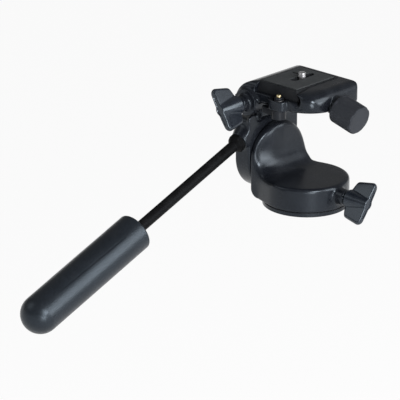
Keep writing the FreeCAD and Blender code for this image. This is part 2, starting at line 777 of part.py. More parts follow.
roll_knob_spot = {"x": "-roll_offset", "y": "-roll_boss_reach - face_gap", "z": "roll_height", "turn": "-Y"}
roll_knob = wing("roll_knob", "roll_blade_angle", roll_knob_spot, "axle_radius + insert_wall")
roll_knob_insert = place(ring("roll_knob_insert", "axle_radius + running_gap", "axle_radius + insert_wall",
                              "0", "wing_bore_depth"), **roll_knob_spot)


# Side tilt axle: a bolt held in the platform's ears, its nut let into the back ear

axle_back = "platform_half_depth - 0.3"
roll_axle = rod("roll_axle", "axle_radius", "-roll_boss_reach - wing_bore_depth", axle_back,
                x="-roll_offset", z="roll_height", along="Y")
axle_nut_hex = place(hexagon("axle_nut_hex", "axle_nut_flats", "axle_nut_height"),
                     x="-roll_offset", y="platform_half_depth", z="roll_height", turn="-Y")
roll_axle_nut = cut("roll_axle_nut", axle_nut_hex,
                    rod("axle_nut_bore", "axle_radius", "platform_half_depth - axle_nut_height - 1",
                        "platform_half_depth + 1", x="-roll_offset", z="roll_height", along="Y"))
roll_friction_discs = group("roll_friction_discs", *[
    ring("roll_disc_" + side, "axle_radius + running_gap*4", "knuckle_radius", start, end,
         x="-roll_offset", z="roll_height", along="Y")
    for side, start, end in (("front", "-ear_inner", "-knuckle_half"),
                             ("back", "knuckle_half", "ear_inner"))])


# Platform

platform_side = padded("platform_side", "XZ_Plane", "-platform_half_depth", "platform_half_depth", [
    ("platform_right", "platform_bottom"),
    ("platform_right", "platform_top - right_shoulder_radius"),
    ("platform_right - right_shoulder_radius", "platform_top",
     "platform_right - right_shoulder_radius", "platform_top - right_shoulder_radius", 1),
    ("-left_shoulder_start", "platform_top"),
    ("-shoulder_foot", "platform_bottom", "-left_shoulder_start", "platform_top - left_shoulder_radius", 1),
])
platform_plan = padded("platform_plan", "XY_Plane", "platform_bottom - 1", "platform_top + 1", [
    ("platform_right - front_corner_radius", "-platform_half_depth"),
    ("platform_right", "front_corner_radius - platform_half_depth",
     "platform_right - front_corner_radius", "front_corner_radius - platform_half_depth", 1),
    ("platform_right", "platform_half_depth - back_corner_radius"),
    ("platform_right - back_corner_radius", "platform_half_depth",
     "platform_right - back_corner_radius", "platform_half_depth - back_corner_radius", 1),
    ("back_corner_radius - shoulder_foot", "platform_half_depth"),
    ("-shoulder_foot", "platform_half_depth - back_corner_radius",
     "back_corner_radius - shoulder_foot", "platform_half_depth - back_corner_radius", 1),
    ("-shoulder_foot", "-platform_half_depth"),
])
platform_ends = padded("platform_ends", "YZ_Plane", "-shoulder_foot - 1", "platform_right + 1", [
    ("-platform_half_depth", "platform_bottom - 1"),
    ("platform_half_depth", "platform_bottom - 1"),
    ("platform_half_depth", "platform_top - back_round"),
    ("platform_half_depth - back_round", "platform_top",
     "platform_half_depth - back_round", "platform_top - back_round", 1),
    ("front_round - platform_half_depth", "platform_top"),
    ("-platform_half_depth", "platform_top - front_round",
     "front_round - platform_half_depth", "platform_top - front_round", 1),
])
platform_blank = common("platform_blank", platform_side, platform_plan, platform_ends)
platform_shell = rounded("platform_shell", platform_blank, "under_round",
                         lambda edge: flat_at("z", "platform_bottom")(edge)
                         and edge.BoundBox.XMax > number("back_corner_radius - shoulder_foot"))


def ear(name, radius, start, end):
    """An ear of the side tilt hinge, hung from the platform around the axle."""
    return fuse(name,
                rod(name + "_round", radius, start, end, x="-roll_offset", z="roll_height", along="Y"),
                box(name + "_web", ("-roll_offset - " + radius, start, "roll_height"),
                    (radius + " - roll_offset", end, "platform_bottom + under_round + 1")))


lever_block = padded("lever_block", "XY_Plane", "platform_bottom", "plate_bottom - pocket_gap", [
    ("lever_block_half_width - lever_offset", "lever_y + 1"),
    ("-lever_block_half_width - lever_offset", "lever_y + 1"),
    ("-lever_block_half_width - lever_offset", "lever_y - 1"),
    ("-lever_offset - lever_block_half_width + lever_block_reach - 1", "lever_front",
     "-lever_offset - lever_block_half_width + lever_block_reach - 1", "lever_y - 1", 1),
    ("lever_block_half_width - lever_offset - lever_block_reach + 1", "lever_front"),
    ("lever_block_half_width - lever_offset", "lever_y - 1",
     "lever_block_half_width - lever_offset - lever_block_reach + 1", "lever_y - 1", 1),
])


def on_side_knob(thing):
    return place(thing, x="side_knob_x", z="side_knob_z", turn=Vector(0, 1, 0), angle="90 + side_knob_drop")


side_boss = on_side_knob(group("side_boss", rod("side_boss_blank", "side_boss_radius",
                                               "-side_boss_length", "-face_gap")))
side_bore = on_side_knob(group("side_bore", rod("side_bore_blank", "stud_bore", "-plunger_tip - 4", "1")))

pocket_path = [
    ("-plate_offset - foot_half_width - pocket_gap", "plate_bottom"),
    ("jaw_inner", "plate_bottom"),
    ("jaw_inner", "plate_bottom - jaw_drop"),
    ("pocket_right", "plate_bottom - jaw_drop"),
    ("pocket_right", "plate_bottom + jaw_height + pocket_gap"),
    ("plate_width/2 - plate_offset + lip_gap", "plate_bottom + jaw_height + pocket_gap"),
    ("plate_width/2 - plate_offset + lip_gap", "plate_top + 1"),
    ("-plate_offset - plate_width/2 - pocket_gap", "plate_top + 1"),
    ("-plate_offset - plate_width/2 - pocket_gap", "plate_bottom + plate_foot + plate_slope + pocket_gap"),
    ("-plate_offset - foot_half_width - pocket_gap", "plate_bottom + plate_foot + pocket_gap"),
]
pocket = padded("pocket", "XZ_Plane", "-platform_half_depth - lever_block_reach - 1",
                "plate_back + pocket_gap*5", pocket_path)
neck_slot = fuse("neck_slot",
                 rod("knuckle_room", "knuckle_radius + neck_room", "-ear_inner", "ear_inner",
                     x="-roll_offset", z="roll_height", along="Y"),
                 box("neck_room_box",
                     ("-roll_offset - left_shoulder_radius", "-ear_inner", "platform_bottom - 1"),
                     ("-roll_offset", "ear_inner", "roll_height + knuckle_radius + neck_room")),
                 box("neck_room_right", ("-roll_offset", "-ear_inner", "platform_bottom - 1"),
                     ("knuckle_radius + neck_room - roll_offset", "ear_inner", "roll_height + 2")))
cam_recess = rod("cam_recess", "cam_radius + cam_throw + cam_room", "cam_floor", "plate_bottom + 1",
                 x="-lever_offset", y="lever_y")
platform = cut("platform",
               fuse("platform_solid", platform_shell, lever_block, side_boss,
                    ear("front_ear", "front_ear_radius", "-front_ear_reach", "-ear_inner"),
                    ear("back_ear", "ear_radius", "ear_inner", "platform_half_depth"),
                    rod("roll_boss", "lock_boss_radius", "-roll_boss_reach", "-front_ear_reach",
                        x="-roll_offset", z="roll_height", along="Y")),
               pocket, neck_slot, side_bore, cam_recess,
               rod("return_recess", "return_recess_radius", "platform_bottom - 1",
                   "platform_bottom + return_recess_height", x="-lever_offset", y="lever_y"),
               rod("lever_bore", "shaft_bore", "platform_bottom - 1", "cam_floor",
                   x="-lever_offset", y="lever_y"),
               rod("axle_hole_front", "axle_radius", "-roll_boss_reach - 1", "-ear_inner + 1",
                   x="-roll_offset", z="roll_height", along="Y"),
               rod("axle_hole_back", "axle_radius", "ear_inner - 1", axle_back,
                   x="-roll_offset", z="roll_height", along="Y"),
               axle_nut_hex)


# Quick-release plate, its rubber and the camera screw

plate_path = [
    ("-plate_offset - foot_half_width", "plate_bottom"),
    ("foot_half_width - plate_offset", "plate_bottom"),
    ("foot_half_width - plate_offset", "plate_bottom + plate_foot"),
    ("plate_width/2 - plate_offset", "plate_bottom + plate_foot + plate_slope"),
    ("plate_width/2 - plate_offset", "plate_top - pad_thickness"),
    ("-plate_offset - plate_width/2", "plate_top - pad_thickness"),
    ("-plate_offset - plate_width/2", "plate_bottom + plate_foot + plate_slope"),
    ("-plate_offset - foot_half_width", "plate_bottom + plate_foot"),
]
plate_solid = padded("plate_solid", "XZ_Plane", "plate_front", "plate_back", plate_path)


def slot(name, low, high, half_width):
    """A round-ended slot along Y, centred on the camera screw."""
    near = "camera_screw_y - slot_half_length + " + half_width
    far = "camera_screw_y + slot_half_length - " + half_width
    ends = [rod("%s_end_%d" % (name, i), half_width, low, high, x="-plate_offset", y=y)
            for i, y in enumerate((near, far))]
    middle = box(name + "_middle", ("-plate_offset - " + half_width, near, low),
                 (half_width + " - plate_offset", far, high))
    return fuse(name, middle, *ends)


plate_recess = box("plate_recess",
                   ("-plate_offset - recess_half_width", "plate_shift - recess_half_length",
                    "plate_bottom - 1"),
                   ("recess_half_width - plate_offset", "plate_shift + recess_half_length", "recess_top"))
pin_groove_y = "camera_screw_y + pin_groove_shift"
pin_groove_x = ("-plate_offset - pin_groove_outer + pin_groove_half_width",
                "-plate_offset - pin_groove_inner - pin_groove_half_width")
pin_groove = fuse("pin_groove",
                  box("pin_groove_middle",
                      (pin_groove_x[0], pin_groove_y + " - pin_groove_half_width",
                       "plate_top - pin_groove_depth"),
                      (pin_groove_x[1], pin_groove_y + " + pin_groove_half_width", "plate_top + 1")),
                  *[rod("pin_groove_end_%d" % i, "pin_groove_half_width", "plate_top - pin_groove_depth",
                        "plate_top + 1", x=x, y=pin_groove_y) for i, x in enumerate(pin_groove_x)])
qr_plate = cut("qr_plate", plate_solid, plate_recess, pin_groove,
               slot("plate_slot", "recess_top", "plate_top", "slot_half_width"))
plate_pads = cut("plate_pads",
                 box("pads_blank", ("-plate_offset - plate_width/2 + pad_margin", "plate_front + pad_margin",
                                    "plate_top - pad_thickness"),
                     ("plate_width/2 - pad_margin - plate_offset", "plate_back - pad_margin", "plate_top")),
                 pin_groove,
                 slot("pads_slot", "plate_top - pad_thickness*2", "plate_top + 1",
                      "(slot_half_width + pad_slot_margin)"))

camera_screw = cut("camera_screw",
                   fuse("camera_screw_solid",
                        rod("camera_thread", "camera_thread_radius", "plate_top",
                            "plate_top + camera_thread_reach", x="-plate_offset", y="camera_screw_y"),
                        rod("camera_neck", "camera_neck_radius", "washer_low", "plate_top",
                            x="-plate_offset", y="camera_screw_y"),
                        rod("camera_head", "screw_head_radius", "head_low", "washer_low",
                            x="-plate_offset", y="camera_screw_y"),
                        box("ring_lug",
                            ("-plate_offset - 2", "camera_screw_y - 1.6", "plate_bottom + face_gap"),
                            ("2 - plate_offset", "camera_screw_y + 1.6", "head_low"))),
                   rod("ring_hole", "ring_wire_radius", "-plate_offset - 3", "3 - plate_offset",
                       y="camera_screw_y", z="ring_height", along="X"))
ring_bow = doc.addObject("Part::Torus", "ring_bow")
bind(ring_bow, Radius1="ring_radius", Radius2="ring_wire_radius")
ring_bow.Angle3 = 180
place(ring_bow, x="-plate_offset", y="camera_screw_y", z="ring_height")
screw_d_ring = fuse("screw_d_ring", ring_bow,
                    rod("ring_bar", "ring_wire_radius", "-plate_offset - ring_radius",
                        "ring_radius - plate_offset", y="camera_screw_y", z="ring_height", along="X"))
screw_washer = ring("screw_washer", "neck_bore", "screw_washer_radius", "washer_low", "recess_top",
                    x="-plate_offset", y="camera_screw_y")

jaw_slope_end = "(plate_bottom + jaw_height)"
jaw_slope_run = "((jaw_height - plate_foot - pocket_gap)*plate_flare/plate_slope)"
clamp_jaw = padded("clamp_jaw", "XZ_Plane", "-jaw_half_length", "jaw_half_length", [
    ("jaw_inner", "plate_bottom - jaw_drop"),
    ("jaw_outer", "plate_bottom - jaw_drop"),
    ("jaw_outer", jaw_slope_end),
    ("jaw_inner - " + jaw_slope_run, jaw_slope_end),
    ("jaw_inner", "plate_bottom + plate_foot + pocket_gap"),
])


# Quick-release lever: a hub and arm below the platform, a hollow shaft with a cam through it,
# and a sprung brass pin down the shaft

lever_spot = {"x": "-lever_offset", "y": "lever_y"}
arm_low = "hub_top - lever_arm_height"
lever_solid = fuse("lever_solid",
                   rod("lever_hub", "lever_hub_radius", "hub_bottom", "hub_top", **lever_spot),
                   padded("lever_arm", "XY_Plane", arm_low, "hub_top", [
                       ("-lever_offset", "lever_y + lever_hub_radius*0.75"),
                       ("-lever_offset - lever_reach", "lever_y + lever_tip_radius"),
                       ("-lever_offset - lever_reach", "lever_y - lever_tip_radius",
                        "-lever_offset - lever_reach", "lever_y", 1),
                       ("-lever_offset", "lever_y - lever_hub_radius*0.75"),
                   ]))
qr_lever = cut("qr_lever", lever_solid,
               rod("lever_socket", "shaft_radius", "hub_bottom + plug_height", "hub_top + 1", **lever_spot),
               rod("lever_plug_hole", "pin_bore", "hub_bottom - 1", "hub_bottom + plug_height",
                   **lever_spot))
lever_shaft = cut("lever_shaft",
                  fuse("lever_shaft_solid",
                       rod("shaft_blank", "shaft_radius", "hub_bottom + plug_height", "cam_floor",
                           **lever_spot),
                       rod("cam_blank", "cam_radius", "cam_floor", "cam_floor + cam_height",
                           x="-lever_offset", y="lever_y + cam_throw")),
                  rod("shaft_pin_bore", "pin_bore", "hub_bottom", "cam_floor + cam_height + 1",
                      **lever_spot))
lever_plug = rod("lever_plug", "pin_bore", "hub_bottom", "hub_bottom + plug_height", **lever_spot)
safety_pin = rounded("safety_pin", rod("safety_pin_blank", "pin_radius", "pin_low", "pin_top", **lever_spot),
                     "pin_radius*0.35", flat_at("z", "pin_top"))


def coil(name, radius, wire, low, high, turns):
    """A spring's wire as a stack of rings, each a turn of the closed coil."""
    rings = []
    pitch = "((%s) - (%s) - 2*(%s))/%d" % (high, low, wire, turns - 1)
    for i in range(turns):
        turn = doc.addObject("Part::Torus", "%s_turn_%d" % (name, i + 1))
        bind(turn, Radius1=radius, Radius2=wire)
        place(turn, z="(%s) + (%s) + %d*%s" % (low, wire, i, pitch), **lever_spot)
        rings.append(turn)
    return group(name, *rings)


pin_spring = coil("pin_spring", "pin_radius - spring_wire_radius*1.5", "spring_wire_radius",
                  "hub_bottom + plug_height", "pin_low", 6)
lever_spring = coil("lever_spring", "shaft_radius + face_gap + return_wire_radius", "return_wire_radius",
                    "platform_bottom + return_wire_radius", "platform_bottom + return_recess_height", 4)


# Round side knob on the platform's right, with its stud and the plunger that presses the jaw

knob_blank = rounded("side_knob_blank", rod("side_knob_rod", "side_knob_radius", "0", "side_knob_length"),
                     "side_knob_edge", flat_at("z", "0"), flat_at("z", "side_knob_length"))


def flute(name):
    return rod(name, "side_flute_radius", "2.5", "side_knob_length + 1",
               x="side_knob_radius + side_flute_radius - side_flute_depth")


side_knob = on_side_knob(cut("side_knob", knob_blank, *turned_copies("flute", flute, 8),
                             rod("side_knob_bore", "lock_stud_radius", "0", "side_stud_outer")))
side_knob_stud = on_side_knob(group("side_knob_stud", rod("side_stud_blank", "lock_stud_radius",
                                                         "-side_stud_inner", "side_stud_outer")))
clamp_plunger = on_side_knob(group("clamp_plunger", rod("plunger_blank", "lock_stud_radius",
                                                       "-plunger_tip", "-side_stud_inner - face_gap")))


NODES = [
    base_plate, base_screws, pan_spindle, pan_friction_ring,
    pan_saddle, spindle_grub_screws, pan_brake_pad, tilt_drum, drum_washer, drum_screws, tilt_friction_ring,
    pan_knob, pan_stud,
    tilt_housing, tilt_cover, tilt_brake_shoe, roll_friction_discs,
    handle_rod, handle_collar, grip_core, handle_grip,
    platform, roll_axle, roll_axle_nut, clamp_jaw, clamp_plunger, qr_plate, plate_pads,
    roll_knob, roll_knob_insert,
    camera_screw, screw_d_ring, screw_washer,
    qr_lever, lever_shaft, lever_plug, lever_spring, pin_spring, safety_pin,
    side_knob, side_knob_stud,
]

doc.recompute()
for thing in doc.Objects:
    if {"Invalid", "Error"} & set(thing.State):
        raise RuntimeError("%s did not build: %s" % (thing.Name, thing.State))
for node in NODES:
    if node.Shape.isNull() or not node.Shape.isValid() or not node.Shape.Solids:
        raise RuntimeError("%s has no valid solid" % node.Label)

os.makedirs("parts", exist_ok=True)
for node in NODES:
    node.Shape.exportStep("parts/%s.step" % node.Label)
print("%d nodes written" % len(NODES))
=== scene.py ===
import json
import math

import bmesh
import bpy
import numpy as np
from mathutils import Matrix, Vector


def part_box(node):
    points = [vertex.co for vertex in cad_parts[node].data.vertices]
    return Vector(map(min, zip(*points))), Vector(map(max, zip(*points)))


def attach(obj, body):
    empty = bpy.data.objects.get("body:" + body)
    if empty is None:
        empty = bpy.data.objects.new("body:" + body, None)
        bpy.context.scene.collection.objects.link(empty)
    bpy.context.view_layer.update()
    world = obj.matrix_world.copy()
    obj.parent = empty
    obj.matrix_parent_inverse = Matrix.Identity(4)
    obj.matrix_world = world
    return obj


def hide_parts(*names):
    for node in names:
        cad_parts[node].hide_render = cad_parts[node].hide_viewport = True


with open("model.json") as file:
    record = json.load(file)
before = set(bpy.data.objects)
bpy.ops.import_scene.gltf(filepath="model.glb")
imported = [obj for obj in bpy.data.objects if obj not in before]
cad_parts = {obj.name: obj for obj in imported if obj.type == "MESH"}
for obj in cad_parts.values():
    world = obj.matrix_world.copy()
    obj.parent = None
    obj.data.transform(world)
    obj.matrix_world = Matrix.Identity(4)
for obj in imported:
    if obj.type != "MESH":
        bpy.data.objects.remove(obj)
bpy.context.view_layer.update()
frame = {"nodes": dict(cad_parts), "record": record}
nodes = frame["nodes"]
mm = 0.001
tiny = 1e-6  # too little to count, for lengths in metres and for sines
print("frame loaded,", len(nodes), "nodes")


# Link a socket to another node's output, or set it to a value
def feed(tree, socket, value):
    if isinstance(value, bpy.types.NodeSocket):
        tree.links.new(value, socket)
    else:
        socket.default_value = value


# A node with its settings and its sockets given by name
def addNode(tree, kind, **values):
    node = tree.nodes.new(kind)
    for name, value in values.items():
        if hasattr(node, name):
            setattr(node, name, value)
        else:
            feed(tree, node.inputs[name], value)
    return node


def blendMaths(tree, operation, first, second, clamp=False):
    node = tree.nodes.new("ShaderNodeMath")
    node.operation, node.use_clamp = operation, clamp
    feed(tree, node.inputs[0], first)
    feed(tree, node.inputs[1], second)
    return node.outputs[0]


# A smooth step of a value from one band to another
def spread(tree, value, low, high, toLow=0.0, toHigh=1.0):
    node = tree.nodes.new("ShaderNodeMapRange")
    node.interpolation_type = "SMOOTHSTEP"
    for socket, entry in zip(node.inputs, (value, low, high, toLow, toHigh)):
        feed(tree, socket, entry)
    return node.outputs[0]


# An empty shader group with named sockets, and its input and output nodes
def newGroup(name, inputs, outputs):
    tree = bpy.data.node_groups.new(name, "ShaderNodeTree")
    for label, kind, start in inputs:
        socket = tree.interface.new_socket(label, in_out="INPUT", socket_type=kind)
        if start is not None:
            socket.default_value = start
    for label, kind in outputs:
        tree.interface.new_socket(label, in_out="OUTPUT", socket_type=kind)
    return tree, tree.nodes.new("NodeGroupInput"), tree.nodes.new("NodeGroupOutput")


floatKind, vectorKind = "NodeSocketFloat", "NodeSocketVector"
# Readings of noise, distance, height or turn between which each effect goes from none to full
bands = {
    "drift": (0.34, 0.66), "joint": (0.3, 0.75), "poreHeight": (0.2, 1.4), "edgeTurn": (0.995, 0.86),
    "wearBreakup": (0.42, 0.66), "upward": (0.2, 1.0), "speckEdge": (0.13, 0.05),
    "speckChoice": (0.72, 0.78), "dustFilm": (0.45, 0.75), "metalSheen": (0.35, 0.65),
}
shares = {"pebbleGrit": 0.6, "dustHaze": 0.3, "dustOnSides": 0.15}


def buildMouldGrain():
    # Fine orange peel of a moulding, and slow drifts of its tone
    tree, given, made = newGroup("mouldGrain", [
        ("Vector", vectorKind, None), ("Grain Scale", floatKind, 2600.0), ("Drift Scale", floatKind, 45.0)],
        [("Height", floatKind), ("Drift", floatKind)])
    fine = addNode(tree, "ShaderNodeTexNoise", Vector=given.outputs["Vector"],
                   Scale=given.outputs["Grain Scale"], Detail=3.0, Roughness=0.55)
    drift = addNode(tree, "ShaderNodeTexNoise", Vector=given.outputs["Vector"],
                    Scale=given.outputs["Drift Scale"], Detail=4.0, Roughness=0.6)
    tree.links.new(fine.outputs["Fac"], made.inputs["Height"])
    tree.links.new(spread(tree, drift.outputs["Fac"], *bands["drift"]), made.inputs["Drift"])
    return tree


def buildPebbleGrain():
    # Rubber's pebbled skin: rounded cells with dark joints
    tree, given, made = newGroup("pebbleGrain", [
        ("Vector", vectorKind, None), ("Cell Scale", floatKind, 1500.0)],
        [("Height", floatKind), ("Joints", floatKind)])
    cells = addNode(tree, "ShaderNodeTexVoronoi", feature="SMOOTH_F1", Vector=given.outputs["Vector"],
                    Scale=given.outputs["Cell Scale"], Smoothness=0.4)
    rough = addNode(tree, "ShaderNodeTexNoise", Vector=given.outputs["Vector"],
                    Scale=given.outputs["Cell Scale"], Detail=2.0)
    joints = spread(tree, cells.outputs["Distance"], *bands["joint"])
    lump = blendMaths(tree, "SUBTRACT", 1.0, joints)
    grit = blendMaths(tree, "MULTIPLY", rough.outputs["Fac"], shares["pebbleGrit"])
    tree.links.new(blendMaths(tree, "ADD", lump, grit), made.inputs["Height"])
    tree.links.new(joints, made.inputs["Joints"])
    return tree


def buildEdgeWear():
    # Rubbed edges: where the rounded normal leaves the surface's own, broken up by noise
    tree, given, made = newGroup("edgeWear", [
        ("Vector", vectorKind, None), ("Width", floatKind, 0.6 * mm), ("Breakup Scale", floatKind, 220.0)],
        [("Wear", floatKind)])
    rounded = addNode(tree, "ShaderNodeBevel", samples=6, Radius=given.outputs["Width"])
    surface = tree.nodes.new("ShaderNodeNewGeometry")
    turn = addNode(tree, "ShaderNodeVectorMath", operation="DOT_PRODUCT")
    tree.links.new(rounded.outputs["Normal"], turn.inputs[0])
    tree.links.new(surface.outputs["Normal"], turn.inputs[1])
    edge = spread(tree, turn.outputs["Value"], *bands["edgeTurn"])
    noise = addNode(tree, "ShaderNodeTexNoise", Vector=given.outputs["Vector"],
                    Scale=given.outputs["Breakup Scale"], Detail=5.0, Roughness=0.7)
    breakup = spread(tree, noise.outputs["Fac"], *bands["wearBreakup"])
    tree.links.new(blendMaths(tree, "MULTIPLY", edge, breakup), made.inputs["Wear"])
    return tree


def buildDustSpecks():
    # A thin film of dust where the surface faces up, and a few pale specks
    tree, given, made = newGroup("dustSpecks", [
        ("Vector", vectorKind, None), ("Normal", vectorKind, None), ("Speck Scale", floatKind, 520.0)],
        [("Dust", floatKind)])
    split = addNode(tree, "ShaderNodeSeparateXYZ", Vector=given.outputs["Normal"])
    upward = spread(tree, split.outputs["Z"], *bands["upward"], toLow=shares["dustOnSides"])
    cells = addNode(tree, "ShaderNodeTexVoronoi", Vector=given.outputs["Vector"],
                    Scale=given.outputs["Speck Scale"], Randomness=1.0)
    speck = spread(tree, cells.outputs["Distance"], *bands["speckEdge"])
    chosen = spread(tree, cells.outputs["Color"], *bands["speckChoice"])
    noise = addNode(tree, "ShaderNodeTexNoise", Vector=given.outputs["Vector"], Scale=90.0, Detail=6.0,
                    Roughness=0.65)
    film = spread(tree, noise.outputs["Fac"], *bands["dustFilm"])
    haze = blendMaths(tree, "MULTIPLY", film, shares["dustHaze"])
    both = blendMaths(tree, "MAXIMUM", haze, blendMaths(tree, "MULTIPLY", speck, chosen))
    tree.links.new(blendMaths(tree, "MULTIPLY", both, upward), made.inputs["Dust"])
    return tree


def buildToolMarks():
    # Fine lines of a turned or brushed metal face, stretched along the tool's path
    tree, given, made = newGroup("toolMarks", [
        ("Vector", vectorKind, None), ("Stretch", vectorKind, (1.0, 1.0, 12.0)),
        ("Line Scale", floatKind, 900.0)], [("Height", floatKind), ("Sheen", floatKind)])
    squeeze = addNode(tree, "ShaderNodeVectorMath", operation="MULTIPLY")
    tree.links.new(given.outputs["Vector"], squeeze.inputs[0])
    tree.links.new(given.outputs["Stretch"], squeeze.inputs[1])
    lines = addNode(tree, "ShaderNodeTexNoise", Vector=squeeze.outputs["Vector"],
                    Scale=given.outputs["Line Scale"], Detail=4.0, Roughness=0.7)
    blotch = addNode(tree, "ShaderNodeTexNoise", Vector=given.outputs["Vector"], Scale=160.0, Detail=3.0)
    tree.links.new(lines.outputs["Fac"], made.inputs["Height"])
    tree.links.new(spread(tree, blotch.outputs["Fac"], *bands["metalSheen"]), made.inputs["Sheen"])
    return tree


mouldGrain = buildMouldGrain()
pebbleGrain = buildPebbleGrain()
edgeWear = buildEdgeWear()
dustSpecks = buildDustSpecks()
toolMarks = buildToolMarks()
print("shader groups ready")


# A shader group in a material; an underscore here stands for the space in a socket's name
def placeGroup(tree, group, **values):
    node = tree.nodes.new("ShaderNodeGroup")
    node.node_tree = group
    for name, value in values.items():
        feed(tree, node.inputs[name.replace("_", " ")], value)
    return node


def mixColours(tree, share, first, second):
    node = tree.nodes.new("ShaderNodeMix")
    node.data_type = "RGBA"
    feed(tree, node.inputs[0], share)
    for socket, colour in ((node.inputs[6], first), (node.inputs[7], second)):
        feed(tree, socket, (*colour, 1.0) if isinstance(colour, tuple) else colour)
    return node.outputs[2]


def startMaterial(name):
    material = bpy.data.materials.new(name)
    material.use_nodes = True
    tree = material.node_tree
    return material, tree, tree.nodes["Principled BSDF"], tree.nodes.new("ShaderNodeTexCoord")


def bumpFrom(tree, shader, height, depth, strength):
    bump = addNode(tree, "ShaderNodeBump", Strength=strength, Distance=depth, Height=height)
    tree.links.new(bump.outputs["Normal"], shader.inputs["Normal"])


# Moulded or painted plastic: drifting tone, orange peel, rubbed edges and a little dust
def mouldedFinish(name, look):
    material, tree, shader, coords = startMaterial(name)
    spot = coords.outputs["Object"]
    grain = placeGroup(tree, mouldGrain, Vector=spot, Grain_Scale=look["grainScale"])
    wear = placeGroup(tree, edgeWear, Vector=spot, Width=look["wearWidth"])
    dust = placeGroup(tree, dustSpecks, Vector=spot, Normal=coords.outputs["Normal"])
    worn = blendMaths(tree, "MULTIPLY", wear.outputs["Wear"], look["wear"])
    dusty = blendMaths(tree, "MULTIPLY", dust.outputs["Dust"], look["dust"])
    colour = mixColours(tree, grain.outputs["Drift"], look["colour"], look["driftColour"])
    colour = mixColours(tree, worn, colour, look["wornColour"])
    colour = mixColours(tree, dusty, colour, look["dustColour"])
    tree.links.new(colour, shader.inputs["Base Color"])
    rough = spread(tree, grain.outputs["Drift"], 0.0, 1.0, *look["roughness"])
    dull = blendMaths(tree, "MULTIPLY", dusty, look["dustRoughness"])
    tree.links.new(blendMaths(tree, "ADD", rough, dull, clamp=True), shader.inputs["Roughness"])
    shader.inputs["Specular IOR Level"].default_value = look["specular"]
    shader.inputs["Specular Tint"].default_value = (*look["sheenTint"], 1.0)
    shader.inputs["Coat Weight"].default_value = look["coat"]
    shader.inputs["Coat Roughness"].default_value = look["coatRoughness"]
    bumpFrom(tree, shader, grain.outputs["Height"], look["grainDepth"], look["grainStrength"])
    return material


# Rubber: pebbled skin, pale bloom in its drifts, soft sheen
def rubberFinish(name, look):
    material, tree, shader, coords = startMaterial(name)
    spot = coords.outputs["Object"]
    pebble = placeGroup(tree, pebbleGrain, Vector=spot, Cell_Scale=look["cellScale"])
    grain = placeGroup(tree, mouldGrain, Vector=spot, Drift_Scale=look["driftScale"])
    dust = placeGroup(tree, dustSpecks, Vector=spot, Normal=coords.outputs["Normal"],
                      Speck_Scale=look["speckScale"])
    jointed = blendMaths(tree, "MULTIPLY", pebble.outputs["Joints"], look["joints"])
    dusty = blendMaths(tree, "MULTIPLY", dust.outputs["Dust"], look["dust"])
    colour = mixColours(tree, grain.outputs["Drift"], look["colour"], look["driftColour"])
    colour = mixColours(tree, jointed, colour, look["jointColour"])
    colour = mixColours(tree, dusty, colour, look["dustColour"])
    tree.links.new(colour, shader.inputs["Base Color"])
    low, high = look["roughness"]
    rough = spread(tree, pebble.outputs["Height"], *bands["poreHeight"], high, low)
    tree.links.new(rough, shader.inputs["Roughness"])
    shader.inputs["Specular IOR Level"].default_value = look["specular"]
    shader.inputs["Specular Tint"].default_value = (*look["sheenTint"], 1.0)
    bumpFrom(tree, shader, pebble.outputs["Height"], look["cellDepth"], look["cellStrength"])
    return material


# Bare or plated metal: tool lines, tarnish in its blotches, bright edges
def metalFinish(name, look):
    material, tree, shader, coords = startMaterial(name)
    spot = coords.outputs["Object"]
    marks = placeGroup(tree, toolMarks, Vector=spot, Stretch=look["stretch"], Line_Scale=look["lineScale"])
    wear = placeGroup(tree, edgeWear, Vector=spot, Width=look["wearWidth"])
    worn = blendMaths(tree, "MULTIPLY", wear.outputs["Wear"], look["wear"])
    colour = mixColours(tree, marks.outputs["Sheen"], look["colour"], look["tarnish"])
    colour = mixColours(tree, worn, colour, look["edge"])
    tree.links.new(colour, shader.inputs["Base Color"])
    rough = spread(tree, marks.outputs["Sheen"], 0.0, 1.0, *look["roughness"])
    tree.links.new(rough, shader.inputs["Roughness"])
    shader.inputs["Metallic"].default_value = 1.0
    bumpFrom(tree, shader, marks.outputs["Height"], look["lineDepth"], look["lineStrength"])
    return material


